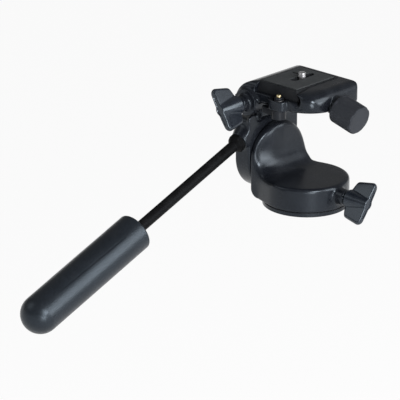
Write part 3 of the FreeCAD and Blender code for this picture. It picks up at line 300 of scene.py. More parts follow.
mouldedLook = {
    "colour": (0.0062, 0.0072, 0.0098), "driftColour": (0.0088, 0.0102, 0.0136),
    "wornColour": (0.05, 0.055, 0.065), "wear": 0.3, "wearWidth": 0.6 * mm,
    "dustColour": (0.42, 0.43, 0.44), "dust": 0.03, "dustRoughness": 0.5,
    "grainScale": 2600.0, "grainDepth": 0.02 * mm, "grainStrength": 0.15,
    "roughness": (0.42, 0.48), "specular": 0.06, "sheenTint": (0.8, 0.9, 1.0),
    "coat": 0.0, "coatRoughness": 0.34,
}
rubberLook = {"speckScale": 700.0, "dustColour": (0.45, 0.46, 0.48)}
metalLook = {
    "stretch": (1.0, 1.0, 9.0), "lineScale": 600.0, "lineStrength": 0.3, "lineDepth": 0.02 * mm,
    "wearWidth": 0.3 * mm, "wear": 0.6,
}
looks = {
    "body_moulding": (mouldedFinish, dict(
        mouldedLook, roughness=(0.22, 0.27), specular=0.32, sheenTint=(0.78, 0.89, 1.0))),
    "plate_moulding": (mouldedFinish, dict(
        mouldedLook, colour=(0.0140, 0.0150, 0.0170), driftColour=(0.0180, 0.0190, 0.0210),
        roughness=(0.42, 0.52), grainStrength=0.3)),
    "knob_gloss": (mouldedFinish, dict(
        mouldedLook, colour=(0.0070, 0.0088, 0.0130), driftColour=(0.0098, 0.0120, 0.0172),
        roughness=(0.22, 0.27), specular=0.62, sheenTint=(0.78, 0.9, 1.0), grainStrength=0.1)),
    "knob_matte": (mouldedFinish, dict(
        mouldedLook, colour=(0.0200, 0.0218, 0.0260), driftColour=(0.0250, 0.0272, 0.0322),
        roughness=(0.52, 0.60), specular=0.15, grainScale=1900.0, grainStrength=0.4)),
    "lever_plastic": (mouldedFinish, dict(mouldedLook, coat=0.3, wearWidth=0.4 * mm)),
    "core_plastic": (mouldedFinish, dict(
        mouldedLook, colour=(0.010, 0.010, 0.011), roughness=(0.5, 0.6))),
    "rod_black": (mouldedFinish, dict(
        mouldedLook, colour=(0.0042, 0.0042, 0.0045), driftColour=(0.0060, 0.0060, 0.0064),
        roughness=(0.42, 0.50), specular=0.04, grainScale=1500.0, grainDepth=0.05 * mm,
        grainStrength=0.5)),
    "acetal": (mouldedFinish, dict(
        mouldedLook, colour=(0.010, 0.010, 0.011), driftColour=(0.014, 0.014, 0.015),
        roughness=(0.4, 0.48), specular=0.3)),
    "grip_rubber": (rubberFinish, dict(
        rubberLook, colour=(0.0075, 0.0094, 0.0128), driftColour=(0.0105, 0.0130, 0.0172),
        jointColour=(0.0045, 0.0054, 0.0072), joints=0.7, cellScale=1150.0, cellDepth=0.08 * mm,
        cellStrength=0.34, driftScale=60.0, roughness=(0.30, 0.40), specular=0.42,
        sheenTint=(0.72, 0.86, 1.0), dust=0.04)),
    "pad_rubber": (rubberFinish, dict(
        rubberLook, colour=(0.0330, 0.0365, 0.0385), driftColour=(0.0400, 0.0435, 0.0455),
        jointColour=(0.0190, 0.0210, 0.0225), joints=0.5, cellScale=2100.0, cellDepth=0.06 * mm,
        cellStrength=0.4, driftScale=70.0, roughness=(0.55, 0.7), specular=0.4,
        sheenTint=(0.9, 0.95, 1.0), dust=0.08)),
    "aluminium": (metalFinish, dict(
        metalLook, colour=(0.62, 0.63, 0.65), tarnish=(0.52, 0.53, 0.55), edge=(0.75, 0.76, 0.78),
        stretch=(10.0, 1.0, 1.0), lineScale=500.0, lineStrength=0.4, roughness=(0.28, 0.4))),
    "steel": (metalFinish, dict(
        metalLook, colour=(0.60, 0.60, 0.62), tarnish=(0.46, 0.46, 0.47), edge=(0.78, 0.78, 0.8),
        roughness=(0.36, 0.48))),
    "brass": (metalFinish, dict(
        metalLook, colour=(0.80, 0.70, 0.44), tarnish=(0.62, 0.52, 0.30), edge=(0.9, 0.82, 0.6),
        roughness=(0.22, 0.34))),
}
finishes = {slot: make(slot, look) for slot, (make, look) in looks.items()}
nodeSlots = {part["node"]: part["material_slot"] for part in frame["record"]["subparts"]}
for name, thing in nodes.items():
    thing.data.materials.clear()
    thing.data.materials.append(finishes[nodeSlots[name]])
print("finishes on", len(nodeSlots), "nodes")


# Link a mesh as a piece that rides on a body and may stand for CAD nodes
def addPiece(name, mesh, body, slotName, replaced=()):
    piece = bpy.data.objects.new(name, mesh)
    bpy.context.scene.collection.objects.link(piece)
    mesh.materials.clear()
    mesh.materials.append(finishes[slotName])
    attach(piece, body)
    if replaced:
        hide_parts(*replaced)
    return piece


# The mesh after one modifier with these settings
def applied(mesh, **settings):
    holder = bpy.data.objects.new("holder", mesh)
    bpy.context.scene.collection.objects.link(holder)
    modifier = holder.modifiers.new("step", settings.pop("type"))
    for name, value in settings.items():
        setattr(modifier, name, value)
    graph = bpy.context.evaluated_depsgraph_get()
    result = bpy.data.meshes.new_from_object(holder.evaluated_get(graph))
    bpy.data.objects.remove(holder)
    return result


def pointsOf(mesh):
    points = np.empty(len(mesh.vertices) * 3, np.float32)
    mesh.vertices.foreach_get("co", points)
    return points.reshape(-1, 3).astype(float)


def movePoints(mesh, points):
    mesh.vertices.foreach_set("co", points.astype(np.float32).ravel())
    mesh.update()


def edgesOf(mesh):
    ends = np.empty(len(mesh.edges) * 2, np.int32)
    mesh.edges.foreach_get("vertices", ends)
    return ends.reshape(-1, 2)


# Faces as quads; a triangle repeats its last corner
def cornersOf(mesh):
    quads = np.empty((len(mesh.polygons), 4), np.int32)
    for i, face in enumerate(mesh.polygons):
        corners = face.vertices
        quads[i] = corners if len(corners) == 4 else (*corners, corners[-1])
    return quads


# Shares of the way to the neighbours' mean in one step, steps between new normals, and the least length
# that a normal is divided by
smoothing = {"plain": 0.5, "outward": 0.6, "along": 0.3, "normalsEvery": 6, "leastNormal": 1e-12}


# For each vertex, the mean of its neighbours
def around(points, ends):
    count = len(points)
    degree = np.bincount(ends.ravel(), minlength=count).astype(float)
    mean = np.empty_like(points)
    for axis in range(3):
        total = np.bincount(ends[:, 0], weights=points[ends[:, 1], axis], minlength=count)
        total += np.bincount(ends[:, 1], weights=points[ends[:, 0], axis], minlength=count)
        mean[:, axis] = total / np.maximum(degree, 1)
    return mean


def normalsOf(points, quads):
    first, second, third, fourth = (points[quads[:, i]] for i in range(4))
    across = np.cross(third - first, fourth - second)
    normals = np.empty_like(points)
    for axis in range(3):
        normals[:, axis] = sum(np.bincount(quads[:, i], weights=across[:, axis], minlength=len(points))
                               for i in range(4))
    return normals / np.maximum(np.linalg.norm(normals, axis=1, keepdims=True), smoothing["leastNormal"])


def smoothed(points, ends, steps):
    for _ in range(steps):
        points = points + (around(points, ends) - points) * smoothing["plain"]
    return points


# Move vertices towards their neighbours where allowed; fillOnly raises hollows and lowers nothing
def relaxed(points, ends, quads, allowed, steps, fillOnly):
    points = points.copy()
    for step in range(steps):
        if step % smoothing["normalsEvery"] == 0:
            normals = normalsOf(points, quads)
        shift = around(points, ends) - points
        out = (shift * normals).sum(axis=1, keepdims=True)
        push = normals * (np.maximum(out, 0) if fillOnly else out)
        slide = shift - normals * out
        points += (push * smoothing["outward"] + slide * smoothing["along"]) * allowed[:, None]
    return points


# The same on only the vertices with a share above zero and their neighbours
def relaxedPart(points, ends, quads, share, steps, fillOnly):
    near = share > 0
    kept = np.zeros(len(points), bool)
    kept[quads[near[quads].any(axis=1)].ravel()] = True
    index = np.cumsum(kept) - 1
    partEnds = index[ends[kept[ends].all(axis=1)]]
    partQuads = index[quads[kept[quads].all(axis=1)]]
    points = points.copy()
    points[kept] = relaxed(points[kept], partEnds, partQuads, share[kept], steps, fillOnly)
    return points


def eased(values, low, high):
    share = np.clip((values - low) / (high - low), 0, 1)
    return share * share * (3 - 2 * share)


# 1 on a path through some places, falling smoothly to 0 at a reach from it
def nearPath(points, path, reach):
    gap = np.full(len(points), np.inf)
    for start, end in zip(path, path[1:]):
        start, along = np.asarray(start, float), np.asarray(end, float) - np.asarray(start, float)
        place = np.clip((points - start) @ along / (along @ along), 0, 1)
        gap = np.minimum(gap, np.linalg.norm(points - start - place[:, None] * along, axis=1))
    return 1 - eased(gap, 0, reach)


# Smooth a close mesh, then raise its inner corners into fillets where mayFill(points) allows it.
# Each melt smooths one more place: inner corners only when its kind is "fill", all when it is "round".
def softened(mesh, cast, mayFill=None):
    ends, quads = edgesOf(mesh), cornersOf(mesh)
    points = smoothed(pointsOf(mesh), ends, cast["before"])
    allowed = np.ones(len(points)) if mayFill is None else mayFill(points).astype(float)
    points = relaxed(points, ends, quads, allowed, cast["fill"], True)
    for melt in cast.get("melts", ()):
        fillOnly = melt["kind"] == "fill"
        share = nearPath(points, melt["path"], melt["reach"])
        if mayFill is not None and fillOnly:
            share *= mayFill(points)
        chosen = np.flatnonzero(share > 0)
        points[chosen] = relaxedPart(points, ends, quads, share, melt["steps"], fillOnly)[chosen]
    movePoints(mesh, smoothed(points, ends, cast["after"]))
    return mesh


def smoothShaded(mesh, sharpAngle=None):
    mesh.polygons.foreach_set("use_smooth", [True] * len(mesh.polygons))
    if sharpAngle is not None:
        mesh.set_sharp_from_angle(angle=math.radians(sharpAngle))
    mesh.update()
    return mesh


# A closed mesh of rings of points: capped by flat strips at both ends, or looped from last to first
def ringed(rings, looped=False):
    rows, count = len(rings), len(rings[0])
    faces = []
    for row in range(rows if looped else rows - 1):
        low, high = row * count, (row + 1) % rows * count
        for i in range(count):
            j = (i + 1) % count
            faces.append((low + i, low + j, high + j, high + i))
    if not looped:
        last = (rows - 1) * count
        for i in range(count // 2):
            j, k = count - 1 - i, (count - i) % count
            if i == 0:
                faces += [(j, 1, 0), (last, last + 1, last + j)]
            elif i + 1 < j:
                faces += [(k, j, i + 1, i), (last + i, last + i + 1, last + j, last + k)]
            elif i + 1 == j:
                faces += [(k, j, i), (last + i, last + j, last + k)]
    mesh = bpy.data.meshes.new("ringed")
    mesh.from_pydata(np.concatenate(rings).tolist(), [], faces)
    return mesh


# A mesh of round rings about Z, each given as a height and a radius
def lathed(rings, count, radiusAt=None, looped=False):
    angles = np.linspace(0, 2 * math.pi, count, endpoint=False)
    rows = []
    for height, radius in rings:
        reach = np.full(count, radius) if radiusAt is None else radiusAt(height, radius, angles)
        rows.append(np.stack([reach * np.cos(angles), reach * np.sin(angles), np.full(count, height)], 1))
    return ringed(rows, looped)


# Distance of each point from a line
def fromAxis(points, origin, axis):
    axis = np.asarray(axis, float)
    offset = points - np.asarray(origin, float)
    return np.linalg.norm(offset - (offset @ axis)[:, None] * axis, axis=1)


# The handle's own axes: Z runs out along the rod, X stays the head's
handle = {"origin": (-47.4 * mm, -32 * mm, 56.2 * mm), "drop": 20.5}
handleTurn = Matrix.Rotation(math.radians(90 + handle["drop"]), 4, "X")
handleFrame = Matrix.Translation(handle["origin"]) @ handleTurn
handleAxis = handleTurn.to_3x3() @ Vector((0, 0, 1))

# Rubber grip, with a shallow ribbed panel along its top; places run out along the rod
grip = {
    "mouth": 142.6 * mm, "straight": 120.3 * mm, "radius": 17 * mm, "bore": 9.5 * mm, "boreEnd": 255 * mm,
    "mouthRound": 1.8 * mm, "mouthSteps": 8, "endSteps": 47, "around": 260, "rowPitch": 0.40 * mm,
    "panelStart": 153 * mm, "panelEnd": 254 * mm, "panelHalfWide": 13.0 * mm, "panelHalfNarrow": 10.9 * mm,
    "panelCorner": 6 * mm, "panelDepth": 0.30 * mm, "panelStep": 0.6 * mm, "panelLevel": 3 * mm,
    "panelFade": 16 * mm, "ribInset": 1.2 * mm, "ribEase": 0.8 * mm, "ribPitch": 1.7 * mm,
    "ribDepth": 0.10 * mm, "sharpAngle": 50,
}


# For one ring of the grip: how far each point lies outside the panel's border, and how far the ring
# lies past the start of the border's corners
def panelGap(height, angles):
    corner = grip["panelCorner"]
    middle = (grip["panelStart"] + grip["panelEnd"]) / 2
    halfLength = (grip["panelEnd"] - grip["panelStart"]) / 2
    share = (height - grip["panelStart"]) / (2 * halfLength)
    halfWidth = grip["panelHalfWide"] + (grip["panelHalfNarrow"] - grip["panelHalfWide"]) * share
    side = np.abs((angles - math.pi / 2 + math.pi) % (2 * math.pi) - math.pi) * grip["radius"]
    overSide = side - (halfWidth - corner)
    overEnd = abs(height - middle) - (halfLength - corner)
    outside = np.hypot(np.maximum(overSide, 0), max(overEnd, 0))
    outside += np.minimum(np.maximum(overSide, overEnd), 0)
    return outside - corner, overEnd


# The grip's skin, sunk inside the panel's border, which fades at its ends, and by its cross ribs
def gripRadiusAt(height, radius, angles):
    reach = np.full(len(angles), radius)
    if radius < grip["radius"] - tiny:
        return reach
    gap, overEnd = panelGap(height, angles)
    sunk = 1 - np.clip(gap / grip["panelStep"], 0, 1)
    sunk *= np.exp(-np.maximum(-gap, 0) / grip["panelLevel"])
    sunk *= 1 - eased(overEnd, -grip["panelFade"], 0)
    well = np.clip(-(gap + grip["ribInset"]) / grip["ribEase"], 0, 1)
    rib = 0.5 - 0.5 * math.cos(2 * math.pi * height / grip["ribPitch"])
    return reach - sunk * grip["panelDepth"] - well * rib * grip["ribDepth"]


def buildGrip():
    mouth, radius, corner = grip["mouth"], grip["radius"], grip["mouthRound"]
    rings = [(grip["boreEnd"], grip["bore"]), (mouth, grip["bore"]), (mouth, radius - corner)]
    for i in range(1, grip["mouthSteps"]):
        turn = math.pi / 2 * i / grip["mouthSteps"]
        rings.append((mouth + corner * (1 - math.cos(turn)), radius - corner * (1 - math.sin(turn))))
    rows = int((grip["straight"] - corner) / grip["rowPitch"])
    for i in range(rows + 1):
        rings.append((mouth + corner + (grip["straight"] - corner) * i / rows, radius))
    for i in range(1, grip["endSteps"]):
        turn = math.pi / 2 * i / grip["endSteps"]
        rings.append((mouth + grip["straight"] + radius * math.sin(turn), radius * math.cos(turn)))
    mesh = lathed(rings, grip["around"], gripRadiusAt)
    mesh.transform(handleFrame)
    smoothShaded(mesh, grip["sharpAngle"])
    return addPiece("gripSleeve", mesh, "handle", "grip_rubber", ["handle_grip"])


buildGrip()
print("grip done")

# Wing knobs: a round hub that spreads into a blade with a dished end; heights run from the root
wing = {
    "length": 24 * mm, "around": 160, "rowPitch": 0.28 * mm, "boreDepth": 15 * mm,
    "rootRadius": 7.2 * mm, "rootRound": 0.6 * mm, "rootRoundHeight": 0.7 * mm,
    "hubRadius": 8.4 * mm, "hubTip": 4.4 * mm, "shoulder": 2.2 * mm,
    "bladeFrom": 2.4 * mm, "bladeGrow": 2 * mm, "innerReach": 17.0 * mm, "innerAt": 5.0 * mm,
    "innerRound": 1.8 * mm, "outerReach": 20.5 * mm, "cornerRound": 4.6 * mm,
    "middleHalf": 3.2 * mm, "tipHalf": 2.5 * mm, "blend": 5, "thinnest": 0.02 * mm,
    "edge": 1.0 * mm, "edgeSteps": 7, "lip": 0.15 * mm, "dishDepth": 0.7 * mm, "dishInset": 0.9 * mm,
    "dishLevelShare": 0.6, "sharpAngle": 40,
}
# Each knob's CAD node, body, root, axis and bore radius
wingPlaces = {
    "panWingKnob": ("pan_knob", "pan_lock", (48.8 * mm, 0, 16.4 * mm), (1, 0, 0), 3.0 * mm),
    "sideWingKnob": ("roll_knob", "roll_lock", (-41 * mm, -43.8 * mm, 92.3 * mm), (0, -1, 0), 5.6 * mm),
}


# Half the knob's width at a height
def wingReach(along):
    hub = wing["rootRadius"] + (wing["hubRadius"] - wing["rootRadius"]) * min(1, along / wing["shoulder"])
    hub -= wing["rootRound"] * max(0, 1 - along / wing["rootRoundHeight"]) ** 2
    if along < wing["bladeFrom"]:
        return hub
    slope = (wing["innerReach"] - wing["hubRadius"]) / (wing["innerAt"] - wing["bladeFrom"])
    rising = wing["hubRadius"] + slope * (along - wing["bladeFrom"])
    flare = (wing["outerReach"] - wing["innerReach"]) / (wing["length"] - wing["innerAt"])
    level = wing["innerReach"] + flare * (along - wing["innerAt"])
    gap = rising - level
    reach = level + 0.5 * (gap - math.hypot(gap, wing["innerRound"]))
    over = max(0, along - (wing["length"] - wing["cornerRound"]))
    return max(hub, reach) - wing["cornerRound"] + math.sqrt(wing["cornerRound"] ** 2 - over ** 2)


# One section across the knob: a lens with the hub swelling from its middle, shrunk by an inset
def wingSection(along, inset=0.0):
    angles = np.linspace(0, 2 * math.pi, wing["around"], endpoint=False)
    reach = wingReach(along)
    hub = reach
    if along > wing["shoulder"]:
        share = (along - wing["shoulder"]) / (wing["length"] - wing["shoulder"])
        hub = wing["hubRadius"] + (wing["hubTip"] - wing["hubRadius"]) * share
    blade = eased(reach, wing["hubRadius"], wing["hubRadius"] + wing["bladeGrow"])
    across = (reach - inset) * np.cos(angles)
    side = np.abs(across) / reach
    leaf = wing["tipHalf"] + (wing["middleHalf"] - wing["tipHalf"]) * (1 - side ** 2)
    tip = np.clip((np.abs(across) - (reach - inset - wing["tipHalf"])) / wing["tipHalf"], 0, 1)
    leaf *= np.sqrt(np.maximum(1 - tip ** 2, 0))
    swell = np.sqrt(np.maximum(hub ** 2 - across ** 2, 0))
    thick = ((leaf * blade) ** wing["blend"] + swell ** wing["blend"]) ** (1 / wing["blend"])
    thick = np.maximum(thick - inset, wing["thinnest"]) * np.sign(np.sin(angles))
    thick[np.abs(np.sin(angles)) < tiny] = 0
    return np.stack([across, thick, np.full(wing["around"], along)], 1)


# The knob's rings from the end of its bore, out at the root and up to the dish's floor
def wingRings(bore):
    length, edge, dish = wing["length"], wing["edge"], wing["dishInset"]
    spin = np.linspace(0, 2 * math.pi, wing["around"], endpoint=False)
    circle = np.stack([bore * np.cos(spin), bore * np.sin(spin), np.zeros(wing["around"])], 1)
    rings = [circle + (0, 0, wing["boreDepth"]), circle]
    rings += [wingSection(height) for height in np.arange(0, length - edge, wing["rowPitch"])]
    rings += [wingSection(length - edge * (1 - math.sin(turn)), edge * (1 - math.cos(turn)))
              for turn in np.linspace(0, math.pi / 2, wing["edgeSteps"])]
    rings.append(wingSection(length, edge + wing["lip"]))
    rings.append(wingSection(length, edge + dish * wing["dishLevelShare"]))
    rings.append(wingSection(length, edge + dish) - (0, 0, wing["dishDepth"]))
    return rings


# Directions across the blade, through it and along the knob; the CAD knob shows which way it is widest
def wingWays(node, root, axis):
    offset = pointsOf(nodes[node].data) - root
    across = offset - (offset @ axis)[:, None] * axis
    blade = np.linalg.eigh(across.T @ across)[1][:, -1]
    return np.stack([blade, np.cross(axis, blade), axis])


def buildWings():
    for name, (node, body, root, axis, bore) in wingPlaces.items():
        root, axis = np.asarray(root, float), np.asarray(axis, float)
        ways = wingWays(node, root, axis)
        mesh = ringed([ring @ ways + root for ring in wingRings(bore)])
        addPiece(name, smoothShaded(mesh, wing["sharpAngle"]), body, nodeSlots[node], [node])


buildWings()
print("wing knobs done")


# A casting: the CAD solid with its inner corners run out into moulded fillets
def castFrom(name, node, body, cast, mayFill=None, reshape=None):
    mesh = applied(nodes[node].data.copy(), type="REMESH", mode="VOXEL", voxel_size=cast["voxel"])
    if reshape is not None:
        movePoints(mesh, reshape(pointsOf(mesh)))
    softened(mesh, cast, mayFill)
    return addPiece(name, smoothShaded(mesh), body, nodeSlots[node], [node])


# Places along an arc about X or Z, between two angles
def arcPath(about, middle, radius, start, end, count):
    turns = np.linspace(start, end, count)
    first, second, level = radius * np.cos(turns), radius * np.sin(turns), np.zeros(count)
    ways = (level, first, second) if about == "X" else (first, second, level)
    return np.stack(ways, 1) + middle


# The turntable with its upright wall, and the edges that are rounded on it
saddle = {
    "voxel": 0.48 * mm, "before": 12, "fill": 90, "after": 2, "cavity": 36 * mm, "roof": 25 * mm,
    "face": -28.4 * mm, "back": -37.8 * mm, "archHeight": 36.4 * mm, "archRadius": 31.6 * mm,
    "rimHeight": 25.2 * mm, "rimRadius": 37.9 * mm, "rimTurn": 2.0,
    "bossEnd": 48.2 * mm, "bossHeight": 16.4 * mm, "bossRadius": 6.8 * mm, "studClear": 4 * mm,
    "lean": 5.4 * mm, "leanFrom": 7 * mm, "leanPower": 1.6, "leanLostAtCrown": 0.75,
    "crownTurn": (20, 75), "footHeight": (24 * mm, 33 * mm), "leanEnd": -8 * mm,
}
archEdge = arcPath("X", (saddle["face"], 0, saddle["archHeight"]), saddle["archRadius"],
                   start=0, end=math.pi, count=25)
rimEdge = arcPath("Z", (0, 0, saddle["rimHeight"]), saddle["rimRadius"],
                  start=-saddle["rimTurn"], end=saddle["rimTurn"], count=49)
bossEdge = arcPath("X", (saddle["bossEnd"], 0, saddle["bossHeight"]), saddle["bossRadius"],
                   start=0, end=2 * math.pi, count=25)
saddle["melts"] = [
    {"kind": "fill", "path": [(-28 * mm, -24 * mm, 27 * mm), (-28 * mm, 24 * mm, 27 * mm)],
     "reach": 20 * mm, "steps": 900},
    {"kind": "round", "path": archEdge, "reach": 8 * mm, "steps": 180},
    {"kind": "round", "path": rimEdge, "reach": 4 * mm, "steps": 40},
    {"kind": "round", "path": bossEdge, "reach": 2.4 * mm, "steps": 50},
    {"kind": "round", "path": [(-27 * mm, -31.6 * mm, 24 * mm), (-27 * mm, -31.6 * mm, 50 * mm)],
     "reach": 9 * mm, "steps": 300},
    {"kind": "round", "path": [(-28 * mm, -31.6 * mm, 26 * mm), (-11 * mm, -36.8 * mm, 26 * mm)],
     "reach": 7 * mm, "steps": 200},
]
housing = {
    "voxel": 0.42 * mm, "before": 3, "fill": 90, "after": 2, "front": -30 * mm, "top": 68 * mm,
    "rodClear": 5 * mm, "hingeClear": 5 * mm,
}
platform = {
    "voxel": 0.45 * mm, "before": 6, "fill": 60, "after": 3, "front": -31 * mm, "underside": 94.6 * mm,
    "melts": [
        {"kind": "round", "path": [(27 * mm, -26 * mm, 103 * mm), (26 * mm, -25 * mm, 108 * mm)],
         "reach": 19 * mm, "steps": 1200},
    ],
    "hingeClear": 5 * mm, "leverClear": 6.4 * mm, "neckHalf": 22.8 * mm, "neckEnd": -29 * mm,
}
roundKnob = {"voxel": 0.34 * mm, "before": 4, "fill": 10, "after": 4}
hingeAxis = ((-41 * mm, 0, 92.3 * mm), (0, 1, 0))
leverAxis = ((-4.2 * mm, -32 * mm, 0), (0, 0, 1))


def saddleOpen(points):
    outside = fromAxis(points, (0, 0, 0), (0, 0, 1)) > saddle["cavity"]
    outside |= points[:, 2] > saddle["roof"]
    return outside & (fromAxis(points, (0, 0, saddle["bossHeight"]), (1, 0, 0)) > saddle["studClear"])


# The wall's face leans back towards its front edge, most at the foot and little at the crown
def saddleShape(points):
    x, y, z = points.T
    above = np.maximum(z - saddle["archHeight"], 0)
    radius = np.hypot(y, above)
    share = np.clip((radius - saddle["leanFrom"]) / (saddle["archRadius"] - saddle["leanFrom"]), 0, 1)
    share = share ** saddle["leanPower"]
    turn = np.degrees(np.arctan2(above, np.maximum(-y, tiny)))
    share *= np.where(y < 0, 1 - saddle["leanLostAtCrown"] * eased(turn, *saddle["crownTurn"]), 0)
    share *= eased(z, *saddle["footHeight"])
    depth = np.clip((x - saddle["back"]) / (saddle["face"] - saddle["back"]), 0, 1)
    points = points.copy()
    points[:, 0] -= saddle["lean"] * share * depth * (1 - eased(x, saddle["face"], saddle["leanEnd"]))
    return points


def housingOpen(points):
    outside = (points[:, 1] < housing["front"]) | (points[:, 2] > housing["top"])
    outside &= fromAxis(points, handle["origin"], handleAxis) > housing["rodClear"]
    return outside & (fromAxis(points, *hingeAxis) > housing["hingeClear"])


def platformOpen(points):
    outside = (points[:, 1] < platform["front"]) | (points[:, 2] < platform["underside"])
    outside &= fromAxis(points, *hingeAxis) > platform["hingeClear"]
    outside &= fromAxis(points, *leverAxis) > platform["leverClear"]
    neckRoom = (np.abs(points[:, 1]) < platform["neckHalf"]) & (points[:, 0] < platform["neckEnd"])
    return outside & ~neckRoom


castFrom("saddleCasting", "pan_saddle", "saddle", saddle, saddleOpen, saddleShape)
print("saddle done")
castFrom("housingCasting", "tilt_housing", "tilt_head", housing, housingOpen)
print("housing done")
castFrom("platformCasting", "platform", "platform_body", platform, platformOpen)
print("platform done")
castFrom("clampKnob", "side_knob", "side_lock", roundKnob)
print("round knob done")

# Camera screw: a quarter-inch thread above its slotted head
cameraScrew = {
    "place": (-9.7 * mm, 4 * mm, 0), "top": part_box("camera_screw")[1][2], "length": 4.1 * mm,
    "radius": 3.175 * mm, "pitch": 1.27 * mm, "depth": 0.62 * mm, "rowsPerPitch": 12, "around": 72,
    "tip": 0.5 * mm, "tipSteps": 5, "tipStart": 0.01 * mm, "tipShrink": 0.9, "tipPower": 1.5,
    "sharpAngle": 35,
}


def threadRadiusAt(height, radius, angles):
    if radius < cameraScrew["radius"] - tiny:
        return np.full(len(angles), radius)
    turn = (height / cameraScrew["pitch"] - angles / (2 * math.pi)) % 1
    fade = min(1.0, (cameraScrew["top"] - height) / cameraScrew["pitch"])
    return radius - cameraScrew["depth"] * (1 - np.abs(2 * turn - 1)) * fade


# The thread from its foot up, with its rounded tip
def threadMesh(low):
    top, radius, tip = cameraScrew["top"], cameraScrew["radius"], cameraScrew["tip"]
    straight = cameraScrew["length"] - tip
    rows = int(straight / cameraScrew["pitch"] * cameraScrew["rowsPerPitch"])
    rings = [(low + straight * i / rows, radius) for i in range(rows + 1)]
    for i in range(1, cameraScrew["tipSteps"] + 1):
        share = i / cameraScrew["tipSteps"]
        shrunk = cameraScrew["tipStart"] + tip * cameraScrew["tipShrink"] * share ** cameraScrew["tipPower"]
        rings.append((top - tip * (1 - share), radius - shrunk))
    mesh = lathed(rings, cameraScrew["around"], threadRadiusAt)
    mesh.transform(Matrix.Translation(cameraScrew["place"]))
    return mesh


# The CAD screw, cut off at the thread's foot and closed there, with the thread on it
def buildCameraScrew():
    low = cameraScrew["top"] - cameraScrew["length"]
    mesh = threadMesh(low)
    both = bmesh.new()
    both.from_mesh(nodes["camera_screw"].data)
    cut = bmesh.ops.bisect_plane(both, geom=both.verts[:] + both.edges[:] + both.faces[:],
                                 plane_co=(0, 0, low), plane_no=(0, 0, 1), clear_outer=True)
    rim = [part for part in cut["geom_cut"] if isinstance(part, bmesh.types.BMEdge)]
    bmesh.ops.contextual_create(both, geom=rim)
    both.from_mesh(mesh)
    both.to_mesh(mesh)
    both.free()
    smoothShaded(mesh, cameraScrew["sharpAngle"])
    return addPiece("cameraScrewThread", mesh, "screw", "steel", ["camera_screw"])


buildCameraScrew()
print("camera screw done")

# Dark collar on the lever, which the brass safety pin comes out of
pinCollar = {
    "place": (-4.2 * mm, -32 * mm, 0), "seat": 102.4 * mm, "height": 2.75 * mm, "radius": 4.0 * mm,
    "bore": 2.5 * mm, "edge": 0.7 * mm, "edgeSteps": 6, "around": 48, "sharpAngle": 40,
}


def buildPinCollar():
    low, radius, bore, edge = (pinCollar[key] for key in ("seat", "radius", "bore", "edge"))
    high = low + pinCollar["height"]
    rings = [(low, bore), (low, radius)]
    rings += [(high - edge * (1 - math.sin(turn)), radius - edge * (1 - math.cos(turn)))
              for turn in np.linspace(0, math.pi / 2, pinCollar["edgeSteps"])]
    rings.append((high, bore))
    mesh = lathed(rings, pinCollar["around"], looped=True)
    mesh.transform(Matrix.Translation(pinCollar["place"]))
    return addPiece("pinCollar", smoothShaded(mesh, pinCollar["sharpAngle"]), "lever", "lever_plastic")


buildPinCollar()
print("pin collar done")

# Stage: a pale floor far enough down for the handle to swing, soft lamps and the camera
stage = {"floorHeight": -0.42, "floorSize": 14.0, "floorColour": (0.9, 0.9, 0.9), "whiteShare": 0.93}
sky = {"whiteUpTo": 0.03, "dimFrom": 0.16, "dim": 0.20}
lamps = {
    "keyLamp": {"toward": (0.87, -0.28, 0.39), "distance": 1.5, "size": 0.46, "power": 16.0},
    "rightLamp": {"toward": (0.86, 0.32, 0.40), "distance": 1.5, "size": 1.05, "power": 15.0},
    "lowLamp": {"toward": (0.86, -0.50, -0.06), "distance": 1.5, "size": 0.56, "power": 9.0},
    "archLamp": {"toward": (0.95, 0.31, 0.10), "distance": 1.5, "size": 0.45, "power": 3.0},
    "leftLamp": {"toward": (-0.50, -0.62, 0.60), "distance": 1.6, "size": 0.9, "power": 2.5},
    "farLamp": {"toward": (0.606, 0.676, 0.428), "distance": 1.6, "size": 0.8, "power": 1.5},
}
aim = Vector((-0.03, -0.08, 0.04))  # what the lamps point at
shot = {
    "place": (1.54741, -1.75339, 0.88383), "right": (0.72272, 0.69114, 0.0),
    "up": (-0.24402, 0.25517, 0.93560), "lens": 254.0, "sensor": 36.0, "nearest": 0.05, "farthest": 60,
}


# Nearly white to the camera, in reflections and through glass, and matt to all other rays
def floorMaterial():
    material = bpy.data.materials.new("paleFloor")
    material.use_nodes = True
    tree = material.node_tree
    tree.nodes.clear()
    matt = addNode(tree, "ShaderNodeBsdfDiffuse", Color=(*stage["floorColour"], 1.0))
    glow = addNode(tree, "ShaderNodeEmission", Color=(1, 1, 1, 1), Strength=1.0)
    path = tree.nodes.new("ShaderNodeLightPath")
    mirrored = blendMaths(tree, "MAXIMUM", path.outputs["Is Glossy Ray"], path.outputs["Is Transmission Ray"])
    seen = blendMaths(tree, "MAXIMUM", path.outputs["Is Camera Ray"], mirrored)
    mix = tree.nodes.new("ShaderNodeMixShader")
    tree.links.new(blendMaths(tree, "MULTIPLY", seen, stage["whiteShare"]), mix.inputs[0])
    tree.links.new(matt.outputs[0], mix.inputs[1])
    tree.links.new(glow.outputs[0], mix.inputs[2])
    output = tree.nodes.new("ShaderNodeOutputMaterial")
    tree.links.new(mix.outputs[0], output.inputs["Surface"])
    return material


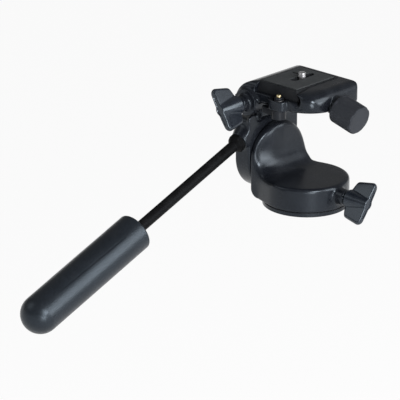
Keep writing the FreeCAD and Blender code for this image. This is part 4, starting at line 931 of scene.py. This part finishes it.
def buildFloor():
    half, low = stage["floorSize"] / 2, stage["floorHeight"]
    corners = [(-half, -half, low), (half, -half, low), (half, half, low), (-half, half, low)]
    mesh = bpy.data.meshes.new("floor")
    mesh.from_pydata(corners, [], [(0, 1, 2, 3)])
    mesh.materials.append(floorMaterial())
    floor = bpy.data.objects.new("floor", mesh)
    bpy.context.scene.collection.objects.link(floor)


def buildLamps():
    for name, lamp in lamps.items():
        light = bpy.data.lights.new(name, "AREA")
        light.shape, light.size, light.energy = "DISK", lamp["size"], lamp["power"]
        holder = bpy.data.objects.new(name, light)
        bpy.context.scene.collection.objects.link(holder)
        toward = Vector(lamp["toward"]).normalized()
        holder.location = aim + toward * lamp["distance"]
        holder.rotation_euler = (-toward).to_track_quat("-Z", "Y").to_euler()
        holder.visible_camera = False


# A sky that is white along the horizon, behind the floor, and dimmer above
def buildWorld():
    world = bpy.data.worlds.new("studio")
    bpy.context.scene.world = world
    world.use_nodes = True
    tree = world.node_tree
    tree.nodes.clear()
    coords = tree.nodes.new("ShaderNodeTexCoord")
    split = addNode(tree, "ShaderNodeSeparateXYZ", Vector=coords.outputs["Generated"])
    level = spread(tree, split.outputs["Z"], sky["whiteUpTo"], sky["dimFrom"], 1.0, sky["dim"])
    fill = addNode(tree, "ShaderNodeBackground", Color=(1, 1, 1, 1), Strength=level)
    output = tree.nodes.new("ShaderNodeOutputWorld")
    tree.links.new(fill.outputs[0], output.inputs["Surface"])


def buildCamera():
    camera = bpy.data.cameras.new("camera")
    camera.lens, camera.sensor_width = shot["lens"], shot["sensor"]
    camera.clip_start, camera.clip_end = shot["nearest"], shot["farthest"]
    holder = bpy.data.objects.new("camera", camera)
    bpy.context.scene.collection.objects.link(holder)
    right, up = Vector(shot["right"]), Vector(shot["up"])
    turn = Matrix((right, up, right.cross(up))).transposed().to_4x4()
    holder.matrix_world = Matrix.Translation(shot["place"]) @ turn
    bpy.context.scene.camera = holder


buildFloor()
buildLamps()
buildWorld()
buildCamera()
bpy.context.scene.view_settings.view_transform = "Standard"
print("stage ready")
